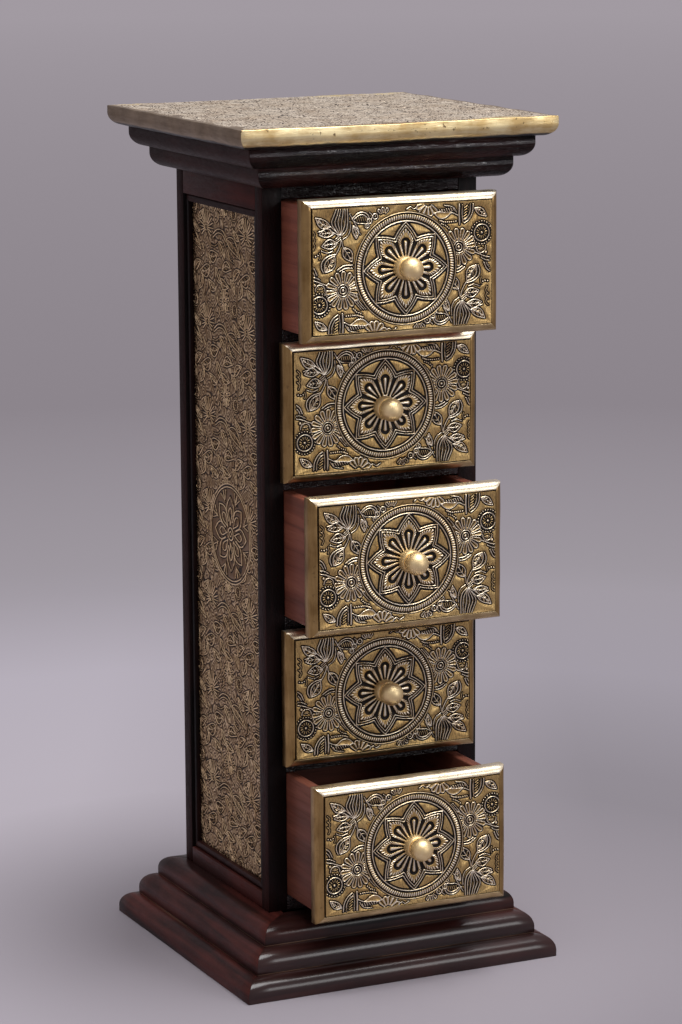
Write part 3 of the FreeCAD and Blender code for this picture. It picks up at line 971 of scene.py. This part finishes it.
def petal_body(along, aside, edge):
    """Heights of a petal's hatched body with the drop in its pit, and their hollows."""
    down = np.clip(BODY_TIP - along, -4.0, 11.1)
    arch = (1.2 * down - down ** 2 / 18.5 - aside) / np.sqrt(1 + (1.2 - down / 9.25) ** 2)
    body = -0.5 * np.logaddexp(-arch / 0.5, (aside - along * 0.336) * 0.94 / 0.5)
    share = np.clip((along - DROP_FOOT) / DROP_LENGTH, 0, 1)
    bend = np.hypot(along - DROP_FOOT - DROP_LENGTH * share, aside)
    pit = bend - (1.5 + 2.3 * share)
    seed = 0.2 + 1.1 * share
    swell = np.clip(body / 0.7, 0, 1)
    lines = np.cos(40 * np.arctan2(aside, along - 13.0))
    margin = np.clip(1.25 - np.abs(body - 0.8) / 1.6, 0, 1)
    fan = np.clip((along - 13.5) / 4.0, 0, 1)
    raised = swell * (0.2 + margin * (0.2 + fan * (0.34 * lines - 0.1)))
    raised = np.where(pit < 0, raised * np.clip(1 + pit / SOFT, 0, 1), raised)
    bead = 0.5 * np.sqrt(np.clip((seed - bend) / seed, 0, 1))
    hollows = [np.clip(-pit / SOFT, 0, 1) * (bead < 0.05),
               np.clip(1 - body / SOFT, 0, 1) * (edge > 2.3),
               0.6 * swell * margin * fan * np.clip(-lines, 0, 1) * (pit > 0)]
    return np.maximum(raised, bead), hollows


def stamped_medallion(sheet, centre):
    """The round medallion of a drawer front: a rope ring round a flower of eight pointed petals."""
    place, u, v = sheet.disc(centre, MEDALLION)
    out = np.hypot(u, v)
    angle = np.arctan2(v, u)
    fold = np.abs(np.mod(angle + np.pi / 8, np.pi / 4) - np.pi / 8)
    rings, hollows = rope_ring(out, angle)
    edge = petal_edge(out, fold)
    outlines = np.maximum(wire(edge - 0.4, *PETAL_WIRE), wire(edge - 2.1, *PETAL_WIRE))
    hollows += [trench(edge + 0.6, 0.78), trench(edge - 1.25, 0.75)]
    raised, dips = petal_body(out * np.cos(fold), out * np.sin(fold), edge)
    flower = np.where(edge > -0.1, np.maximum(outlines, raised), 0)
    inside = out < MEDALLION
    sheet.ridge[place] = np.where(inside, np.maximum(rings, flower), sheet.ridge[place])
    sheet.groove[place] = np.where(inside, np.clip(sum(hollows + dips), 0, 1), sheet.groove[place])


def front_design(width, height, medallion, spray):
    """The embossed field of a drawer front: a medallion between two sprays, one turned by half a turn."""
    sheet = Sheet(width, height, FRONT_STEP)
    for side in (1, -1):
        for motif in HALF_SPRAY:
            motif(Pen(sheet, spray, side))
    stamped_medallion(sheet, medallion)
    return sheet


# The rolled pattern of the side and top sheets, with leaves as base, tip, width, bow and veins
TILE = np.array([70.0, 68.0])
TILE_REACH = (70, 45)
TILE_LEAVES = (((36, -5), (60, -17), 9.0, 0.08, 7), ((4, -19), (20, -17), 8.6, -0.12, 5),
               ((6, -28), (-12, -32), 9.0, 0.1, 6), ((28, -27), (44, -26), 7.4, 0.12, 5),
               ((16, -27), (27, -38), 6.4, -0.12, 4), ((47, -33), (60, -25), 6.4, 0.1, 5),
               ((16, 25), (3, 31), 6.6, 0.1, 5), ((56, 6), (66, 13), 5.6, -0.1, 4),
               ((22, -8), (33, -19), 6.2, 0.1, 5), ((24, 33), (39, 29), 6.4, -0.1, 5),
               ((62, 34), (55, 22), 6.8, 0.1, 5), ((42, 35), (50, 25), 4.8, 0.1, 4),
               ((58, -4), (47, 4), 4.8, 0.1, 4))
SIDE_MEDALLION = 37.0


def trellis_tile(pen):
    """One repeat of the rolled pattern, measured from its fan flower."""
    for number in range(15):
        angle = -35 + 250 * number / 14
        pen.line(spoke((0, 0), angle, 3.8, 13.0 if 0 <= angle <= 180 else 10.0), 0.95)
    pen.line(circle((0, 0), 2.4, steps=16), FINE)
    dot(pen, (0, 0), 1.6)
    pen.sweep((12, -3.5), (20, 0.5), (30, 0.0), (36, -5))
    pen.sweep((12, -6.0), (20, -2.2), (29, -2.6), (35, -7))
    for values in TILE_LEAVES:
        leaf(pen, *values)
    daisy(pen, (31, 18.5), 11, 2.8, 8.4, 2.6)
    ringed_flower(pen, (49, 14), 3.8)
    for points in (((14, 12), (19, 18), (16, 25), (21, 30)), ((17, 9), (21, 13), (22, 8), (18, 5)),
                   ((-8, -12), (-4, -18), (-10, -22)), ((38, -12), (42, -19), (49, -21))):
        pen.sweep(*points, width=FINE)
    for points in (((36, -9), (40, -15), (46, -18)), ((9, -12), (15, -12), (20, -10))):
        row(pen, curve(*points, steps=3), 1.2)


def trellis(sheet, first):
    """Repeats the rolled pattern all over a sheet."""
    for column in range(-4, 5):
        for row in range(-6, 7):
            origin = first + TILE * (column, row)
            if np.all(np.abs(origin) < np.add((sheet.u[-1], sheet.v[-1]), TILE_REACH)):
                trellis_tile(Pen(sheet, origin, wider=0.1, sunk=0.0, reach=1.0))


def side_medallion(sheet, centre):
    """The round medallion in the middle of a side sheet."""
    place, u, v = sheet.disc(centre, SIDE_MEDALLION)
    inside = np.hypot(u, v) < SIDE_MEDALLION
    for layer in (sheet.ridge, sheet.groove):
        layer[place] = np.where(inside, 0, layer[place])
    pen = Pen(sheet, centre)
    rings = ((SIDE_MEDALLION - 0.6, 96, 1.1), (SIDE_MEDALLION - 2.8, 96, 1.1), (4.6, 30, 1.1), (1.9, 20, 1.0))
    for ring, steps, width in rings:
        pen.line(circle((0, 0), ring, steps), width)
    for angle in range(0, 360, 45):
        pen.line(drop((0, 0), angle, 6.5, 19.5, 6.0), 1.0)
        for side in (-1, 1):
            points = ((9, side * 3.6), (17, side * 6.4), (22.5, side * 4.6), (27.5, 0))
            pen.sweep(*aimed((0, 0), angle, points), width=1.1)
        between = angle + 22.5
        pen.line(spoke((0, 0), between, 24, 32.5), 0.9)
        for spread in (-9, 9):
            pen.line([*spoke((0, 0), between, 25), *spoke((0, 0), between + spread, 32)], 0.8)


def plate(name, sheet, triangles, thickness=SHEET, relief=1.0):
    """A closed brass plate with an embossed face at +Z, and its rubbed places kept as an attribute."""
    heights = relief * sheet.heights()
    rows, columns = heights.shape
    deselect()
    bpy.ops.mesh.primitive_grid_add(x_subdivisions=columns - 1, y_subdivisions=rows - 1, size=1.0)
    piece = named(bpy.context.object, name)
    corners = points_of(piece)
    column = np.rint((corners[:, 0] + 0.5) * (columns - 1)).astype(int)
    row = np.rint((corners[:, 1] + 0.5) * (rows - 1)).astype(int)
    corners[:, 0] = sheet.u[column] * MM
    corners[:, 1] = sheet.v[row] * MM
    corners[:, 2] = heights[row, column] * MM
    move_points(piece, corners)
    share = triangles / (2 * len(piece.data.polygons))
    modified(piece, "DECIMATE", ratio=share, use_collapse_triangulate=True)
    bpy.ops.object.mode_set(mode="EDIT")
    bpy.ops.mesh.select_mode(type="EDGE")
    bpy.ops.mesh.select_all(action="DESELECT")
    bpy.ops.mesh.select_non_manifold()
    bpy.ops.mesh.extrude_edges_move(TRANSFORM_OT_translate={"value": (0, 0, -thickness)})
    bpy.ops.mesh.edge_face_add()
    bpy.ops.mesh.select_all(action="SELECT")
    bpy.ops.mesh.normals_make_consistent(inside=False)
    bpy.ops.object.mode_set(mode="OBJECT")
    smoothed(piece, 60)
    keep_relief(piece, sheet)
    return piece


def nearest_line(axis, places):
    """The number of the grid line that is nearest to each place."""
    step = axis[1] - axis[0]
    return np.clip(np.rint((places - axis[0]) / step), 0, len(axis) - 1).astype(int)


def keep_relief(piece, sheet):
    """Stores how rubbed each point of the embossing is, from 0 in the dark hollows to 1 on the ridges."""
    corners = points_of(piece) / MM
    column = nearest_line(sheet.u, corners[:, 0])
    row = nearest_line(sheet.v, corners[:, 1])
    relief = piece.data.attributes.new("relief", "FLOAT", "POINT")
    relief.data.foreach_set("value", sheet.levels()[row, column].astype(np.float32))


# Mouldings, borders and beads: frames of four mitred strips

def strip(name, length, outer, seat, low, high, round_low, round_high, cuts, ring):
    """One strip of a frame, along X with its outer face towards -Y, and mitred at both ends."""
    piece = block(name, (-length / 2, -outer, low), (length / 2, -outer + seat, high))
    if cuts:
        choose_edges(piece, lambda a, b: abs(a.x - b.x) > length / 2)
        bpy.ops.mesh.subdivide(number_cuts=cuts)
    for level, radius in ((low, round_low), (high, round_high)):
        if radius:
            def outer_edge(a, b):
                return all(abs(end.y + outer) < TOUCH and abs(end.z - level) < TOUCH for end in (a, b))
            choose_edges(piece, outer_edge)
            bpy.ops.mesh.bevel(offset=radius, segments=ROUND_STEPS, profile=0.5, affect="EDGES")
    pick(piece)
    bpy.ops.object.mode_set(mode="EDIT")
    if ring:
        bpy.ops.mesh.select_all(action="SELECT")
        bpy.ops.mesh.bisect(plane_co=(0, 0, ring), plane_no=(0, 0, 1))
    for end in (-1, 1):
        bpy.ops.mesh.select_all(action="SELECT")
        bpy.ops.mesh.bisect(plane_co=(end * length / 2, -outer, 0), plane_no=(end, 1, 0), use_fill=True,
                            clear_outer=True)
    bpy.ops.object.mode_set(mode="OBJECT")
    return piece


def mitred_frame(name, half_x, half_y, seat, low, high, finishes, round_low=0.0, round_high=0.0, cuts=0,
                 ease=MOULDING_EASE, ring=None):
    """A frame of four strips about the origin, with finishes for its strips in turn, from the one at -Y."""
    strips = []
    for side in range(4):
        turned = side % 2
        length = 2 * (half_y if turned else half_x)
        outer = half_x if turned else half_y
        piece = strip(f"{name}_{side}", length, outer, seat, low, high, round_low, round_high, cuts, ring)
        eased(piece, ease)
        placed(piece, Matrix.Rotation(side * math.pi / 2, 4, "Z"))
        piece.data.materials.append(finishes[side % len(finishes)])
        strips.append(piece)
    return smoothed(joined(strips, name))


def dented(piece, depth, scale):
    """Pushes a piece's points about a little, as beaten sheet is uneven."""
    corners = points_of(piece)
    wave = corners.astype(float) / scale
    push = np.zeros_like(wave)
    for share in (1.0, 2.3, 4.1):
        turn = RNG.normal(size=(3, 3)) * share
        push += np.sin(wave @ turn + RNG.uniform(0, 6.3, 3)) / share
    move_points(piece, corners + depth * push)
    return piece


def make_mouldings():
    """The stepped plinth, with its rounds on top, and the cornice, with its rounds below."""
    for node in ("plinth_lower", "plinth_middle", "plinth_upper", "cornice_lower", "cornice_upper"):
        low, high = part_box(node)
        radius = high.z - low.z - MOULDING_FLAT
        shoulder = low.z + radius
        if node.startswith("cornice"):
            woods = (cornice_wood, dark_wood["y"])
            shape = {"round_low": radius, "cuts": LUMP_CUTS, "ring": shoulder + LUMP_RISE}
        else:
            # the upper step's front takes the darker wood: painted shade under the drawers
            woods = (plinth_wood["painted_shade" if node == "plinth_upper" else "x"], plinth_wood["y"])
            shape = {"round_high": radius, "cuts": MOULDING_CUTS}
        piece = mitred_frame(node + "_moulding", high.x, high.y, MOULDING_SEAT, low.z, high.z, woods, **shape)
        if node.startswith("cornice"):
            lumpy(piece, high.y, shoulder)
        hand_in(dented(piece, MOULDING_DENT, MOULDING_WAVE), CARCASS, "dark_wood", node)


def lumpy(piece, outer, shoulder):
    """Pushes the points of a front moulding's shoulder out unevenly, as thick lacquer sets there."""
    for point in piece.data.vertices:
        if abs(point.co.y + outer) < TOUCH and abs(point.co.z - shoulder) < TOUCH:
            point.co.y -= RNG.uniform(*LUMPS)


def make_boards():
    """Posts, rails and drawer boards: the frame's own boards with their edges eased."""
    for node in sorted(frame["nodes"]):
        if node.startswith("post_"):
            # the posts' side faces get the lighter post wood: painted light on their sides
            paint_light_on_sides(ease_board(node, CARCASS, dark_wood["z"], "dark_wood", BOARD_EASE), post_wood)
        elif "_rails" in node:
            wood = rail_wood if node.startswith("side") else dark_wood["x"]
            ease_board(node, CARCASS, wood, "dark_wood", BOARD_EASE)
    for drawer in DRAWERS:
        for part, axis in (("side_left", "y"), ("side_right", "y"), ("back", "x")):
            ease_board(f"{drawer}_{part}", drawer, drawer_wood[drawer, axis], "drawer_wood", DRAWER_EASE)


def ease_board(node, body, finish, slot, width):
    """A copy of a node's boards, merged and with its sharp edges eased."""
    copy = frame["nodes"][node].copy()
    copy.data = copy.data.copy()
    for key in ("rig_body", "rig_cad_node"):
        del copy[key]
    copy.parent = None
    bpy.context.scene.collection.objects.link(copy)
    named(copy, node + "_eased")
    pick(copy)
    bpy.ops.object.mode_set(mode="EDIT")
    bpy.ops.mesh.select_all(action="SELECT")
    bpy.ops.mesh.remove_doubles(threshold=0.01 * MM)
    bpy.ops.mesh.dissolve_limited(angle_limit=math.radians(1))
    bpy.ops.object.mode_set(mode="OBJECT")
    copy.data.materials.clear()
    copy.data.materials.append(finish)
    smoothed(eased(copy, width))
    hand_in(copy, body, slot, node)
    return copy


def paint_light_on_sides(board, finish):
    """Gives the faces at the left and right of a board another finish, a lighter one that paints the light
    falling on those faces.
    """
    board.data.materials.append(finish)
    for face in board.data.polygons:
        if abs(face.normal.x) > 0.7:
            face.material_index = 1


def make_beads():
    """Half-round beads that hold the side sheets in their frames."""
    for side, turn in (("left", -1), ("right", 1)):
        node = "panel_beads_" + side
        low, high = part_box(node)
        centre = (low + high) / 2
        depth = high.x - low.x
        half = (high - low) / 2
        piece = mitred_frame(node + "_rounded", half.y, half.z, BEAD_WIDTH, 0, depth,
                             (dark_wood["y"], dark_wood["z"]), round_high=depth * BEAD_ROUND, cuts=BEAD_CUTS,
                             ease=THIN_EASE)
        upright = Matrix(((0, 0, turn), (turn, 0, 0), (0, 1, 0))).to_4x4()
        foot = Vector((low.x if turn > 0 else high.x, centre.y, centre.z))
        hand_in(placed(piece, Matrix.Translation(foot) @ upright), CARCASS, "dark_wood", node)


def make_sides():
    """Embossed sheets of the two sides."""
    low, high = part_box("side_brass_left")
    centre = (low + high) / 2
    sheet = Sheet((high.y - low.y) / MM, (high.z - low.z) / MM, SIDE_STEP)
    trellis(sheet, (-34.0, 19.0))
    sheet.foliage(0.36, 0.26, np.pi / 2)
    side_medallion(sheet, (3.2, 5.4))
    left = plate("side_brass_left_embossed", sheet, SIDE_TRIANGLES)
    left.data.materials.append(side_brass)
    facing_left = Matrix(((0, 0, -1), (-1, 0, 0), (0, 1, 0))).to_4x4()
    facing_right = Matrix.Rotation(math.pi, 4, "Z") @ facing_left
    right = duplicate(left, "side_brass_right_embossed",
                      Matrix.Translation((-low.x, centre.y, centre.z)) @ facing_right)
    placed(left, Matrix.Translation((low.x, centre.y, centre.z)) @ facing_left)
    hand_in(left, CARCASS, "embossed_brass", "side_brass_left")
    hand_in(right, CARCASS, "embossed_brass", "side_brass_right")


def make_top():
    """The embossed sheet on the top, and its plain edge that is folded down and under."""
    low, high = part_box("top_brass_sheet")
    sheet = Sheet(2 * (high.x - TOP_RIM) / MM, 2 * (high.y - TOP_RIM) / MM, TOP_STEP)
    trellis(sheet, (-30.0, 12.0))
    sheet.foliage(0.42, 1.0, 0.0)
    face = plate("top_embossed", sheet, TOP_TRIANGLES, relief=TOP_RELIEF)
    face.data.materials.append(top_brass)
    placed(face, Matrix.Translation((0, 0, high.z + TOP_LIFT)))
    edge = mitred_frame("top_edge", high.x, high.y, TOP_EDGE_WIDTH, low.z, high.z,
                        (edge_brass["x"], edge_brass["y"]), round_low=high.z - low.z - MOULDING_FLAT,
                        round_high=TOP_EDGE_ROUND, cuts=TOP_EDGE_CUTS, ease=THIN_EASE)
    dented(edge, TOP_DENT, TOP_WAVE)
    hand_in(face, CARCASS, "embossed_brass", "top_brass_sheet")
    hand_in(edge, CARCASS, "embossed_brass")


# Drawer fronts

MEDALLION_PLACES = dict(zip(DRAWERS, ((1.8, -0.9), (1.5, 1.9), (0.2, 0.8), (1.0, -0.6), (0.4, -0.4))))
SPRAY_PLACES = dict(zip(DRAWERS, ((-1.6, -0.9), (1.3, 1.0), (0.2, 0.8), (1.0, 0.6), (0.4, 0.4))))
STANDING = Matrix.Rotation(math.pi / 2, 4, "X")
BALL_SHARE = 0.976
CREASE_SHARE = 0.74
FOOT_SHARE = 0.90
FOOT_SUNK = 0.2 * MM
KNOB_SIDES = 64


def make_fronts():
    """Brass facings: an embossed field in a plain rounded border."""
    for drawer in DRAWERS:
        node = drawer + "_facing"
        low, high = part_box(node)
        centre = (low + high) / 2
        half_x = (high.x - low.x) / 2
        half_z = (high.z - low.z) / 2
        depth = high.y - low.y - FIELD_RISE
        border = mitred_frame(node + "_border", half_x, half_z, BORDER_WIDTH, 0, depth,
                              (lower_border, side_border, upper_border, side_border), round_high=BORDER_ROUND,
                              cuts=BORDER_CUTS, ease=BORDER_EASE)
        dented(border, BORDER_DENT, BORDER_WAVE)
        placed(border, Matrix.Translation((centre.x, high.y, centre.z)) @ STANDING)
        hand_in(border, drawer, "embossed_brass")
        sheet = front_design(2 * (half_x - FIELD_INSET) / MM, 2 * (half_z - FIELD_INSET) / MM,
                             MEDALLION_PLACES[drawer], SPRAY_PLACES[drawer])
        field = plate(node + "_field", sheet, FRONT_TRIANGLES, thickness=FIELD_RISE + SHEET)
        field.data.materials.append(front_brass)
        placed(field, Matrix.Translation((centre.x, low.y, centre.z)) @ STANDING)
        hand_in(field, drawer, "embossed_brass", node)


def turned(name, profile, sides):
    """A turned piece: rings of points along Z, from pairs of a radius and a height."""
    deselect()
    radius, height = profile[0]
    bpy.ops.mesh.primitive_circle_add(vertices=sides, radius=radius, location=(0, 0, height),
                                      fill_type="NGON")
    piece = settle(named(bpy.context.object, name))
    bpy.ops.object.mode_set(mode="EDIT")
    bpy.ops.mesh.select_mode(type="FACE")
    bpy.ops.mesh.select_all(action="SELECT")
    for wider, higher in profile[1:]:
        bpy.ops.mesh.extrude_region_move(TRANSFORM_OT_translate={"value": (0, 0, higher - height)})
        bpy.ops.transform.resize(value=(wider / radius, wider / radius, 1), center_override=(0, 0, higher))
        radius = wider
        height = higher
    bpy.ops.mesh.select_all(action="SELECT")
    bpy.ops.mesh.normals_make_consistent(inside=False)
    bpy.ops.object.mode_set(mode="OBJECT")
    return piece


def make_knobs():
    """Ball knobs on thick rounded collars, with a crease between the two."""
    low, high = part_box("drawer_1_knob")
    field_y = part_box("drawer_1_facing")[0].y
    collar = (high.x - low.x) / 2
    ball = collar * BALL_SHARE
    middle = field_y - low.y - ball
    meet = math.asin(CREASE_SHARE * collar / ball)
    crease_height = middle - ball * math.cos(meet)
    profile = [(FOOT_SHARE * collar, -FOOT_SUNK)]
    for angle in np.radians(np.linspace(-50, 62, 12)):
        swell = collar * (0.76 + 0.24 * math.cos(angle))
        profile.append((swell, crease_height * (0.46 + 0.60 * math.sin(angle))))
    for angle in np.linspace(math.pi - meet, 0.03, 28):
        profile.append((ball * math.sin(angle), middle + ball * math.cos(angle)))
    knob = smoothed(turned("knob", profile, KNOB_SIDES), 42)
    knob.data.materials.append(knob_brass)
    for drawer in DRAWERS:
        node = drawer + "_knob"
        box_low, box_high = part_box(node)
        face_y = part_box(drawer + "_facing")[0].y
        seat = Matrix.Translation((0, face_y, (box_low.z + box_high.z) / 2)) @ STANDING
        hand_in(duplicate(knob, node + "_turned", seat), drawer, "polished_brass", node)
    bpy.data.objects.remove(knob)


def dress_frame():
    """Finishes for the frame's own boards that stay as they are."""
    for node, piece in frame["nodes"].items():
        if "runners" in node:
            finish = runner_wood
        elif node.endswith("bottom"):
            finish = drawer_wood[node[:len(DRAWERS[0])], "y"]
        elif node.endswith("front_board"):
            finish = dark_wood["z"]
        elif node.startswith("drawer"):
            finish = drawer_wood[node[:len(DRAWERS[0])], "x"]
        elif "side" in node or "back_panel" in node:
            finish = dark_wood["z"]
        else:
            finish = dark_wood["x"]
        piece.data.materials.clear()
        piece.data.materials.append(finish)


# Studio

LENS = 123.77
SENSOR = 36.0
EYE = (-1.0673, -2.2697, 0.8184)
EYE_TURNS = (("Z", -25.36), ("X", 78.741), ("Z", -0.331))
FLOOR_SPAN = 12.0
# The floor's colour and glow are painted lighter in a ring about 0.8 m out and darker out to about 2.4 m,
# back to the plain tone far away.
FLOOR_TONES = ((0.0, (0.36, 0.325, 0.36)), (0.07, (0.42, 0.385, 0.44)), (0.11, (0.34, 0.31, 0.345)),
               (0.2, (0.262, 0.234, 0.262)), (1.0, (0.36, 0.325, 0.36)))
RIGHTWARD = (0.904, -0.428, 0.0)
SKY = (0.36, 0.335, 0.36, 1.0)
SKY_STRENGTH = 0.45


def make_camera():
    """The photograph's viewpoint."""
    lens = bpy.data.cameras.new("camera")
    lens.lens = LENS
    lens.sensor_width = SENSOR
    eye = bpy.data.objects.new("camera", lens)
    bpy.context.scene.collection.objects.link(eye)
    view = Matrix.Translation(EYE)
    for axis, angle in EYE_TURNS:
        view = view @ Matrix.Rotation(math.radians(angle), 4, axis)
    eye.matrix_world = view
    bpy.context.scene.camera = eye


def soft_lamp(name, place, aim, size, power):
    """A square soft light that points at a place."""
    light = bpy.data.lights.new(name, "AREA")
    light.size = size
    light.energy = power
    lamp = bpy.data.objects.new(name, light)
    bpy.context.scene.collection.objects.link(lamp)
    lamp.location = place
    lamp.rotation_euler = (Vector(aim) - Vector(place)).to_track_quat("-Z", "Y").to_euler()
    lamp.visible_camera = False


def floor_finish():
    """Mauve grey paper, lit near the chest, where its shadow falls, and glowing further away, its tones and
    glow painted lighter in a ring, darker beyond it, brighter to the left and darker to the right.
    """
    finish = Finish("studio floor")
    distance = finish.feed(finish.add("ShaderNodeVectorMath", operation="LENGTH"), Vector=finish.place)
    away = distance.outputs["Value"]
    tones = finish.ramp(finish.span(away, 0.0, FLOOR_SPAN), *FLOOR_TONES)
    rightward = finish.add("ShaderNodeVectorMath", operation="DOT_PRODUCT")
    rightward.inputs[1].default_value = RIGHTWARD
    finish.tree.links.new(finish.place, rightward.inputs[0])
    # painted light: the floor's glow is brighter to the left and darker to the right, within about 1.2 m of
    # the chest
    lean = finish.span(rightward.outputs["Value"], -0.22, 0.22, 0.23, -0.27)
    lean = finish.times(lean, finish.span(away, 0.5, 1.2, 1.0, 0.0))
    finish.shade(Base_Color=tones, Roughness=0.9, Specular_IOR_Level=0.1)
    glow = finish.feed(finish.add("ShaderNodeEmission"), Color=tones, Strength=finish.sum(lean, 1.0))
    path = finish.add("ShaderNodeLightPath")
    seen = finish.sum(path.outputs["Is Camera Ray"], path.outputs["Is Glossy Ray"], "MAXIMUM")
    share = finish.times(seen, finish.span(away, 0.15, 0.42))
    both = finish.add("ShaderNodeMixShader")
    for source, target in zip((share, finish.shader.outputs[0], glow.outputs[0]), both.inputs):
        finish.tree.links.new(source, target)
    finish.tree.links.new(both.outputs[0], finish.tree.nodes["Material Output"].inputs[0])
    return finish.material


def make_sky():
    """An even sky that mirrors brighter than it lights."""
    world = bpy.data.worlds.new("studio")
    world.use_nodes = True
    nodes = world.node_tree.nodes
    sky = nodes["Background"]
    sky.inputs["Color"].default_value = SKY
    ray = nodes.new("ShaderNodeLightPath")
    strength = nodes.new("ShaderNodeMapRange")
    strength.inputs["To Min"].default_value = SKY_STRENGTH
    world.node_tree.links.new(ray.outputs["Is Glossy Ray"], strength.inputs["Value"])
    world.node_tree.links.new(strength.outputs["Result"], sky.inputs["Strength"])
    bpy.context.scene.world = world


def make_studio():
    """A seamless floor, an even sky and soft lamps."""
    deselect()
    bpy.ops.mesh.primitive_plane_add(size=60.0, location=(0, 0, 0))
    floor = named(bpy.context.object, "floor")
    floor.data.materials.append(floor_finish())
    make_sky()
    soft_lamp("overhead", (0.2, -0.5, 2.2), (0, 0, 0.3), 1.5, 50)
    soft_lamp("front right", (1.2, -2.4, 0.95), (0, 0, 0.35), 0.8, 9)
    soft_lamp("left", (-1.8, -1.2, 1.3), (0, 0, 0.35), 0.9, 1.5)
    bpy.context.scene.view_settings.view_transform = "Standard"


make_camera()
make_studio()
dress_frame()
make_mouldings()
make_boards()
make_beads()
make_sides()
make_top()
make_fronts()
make_knobs()
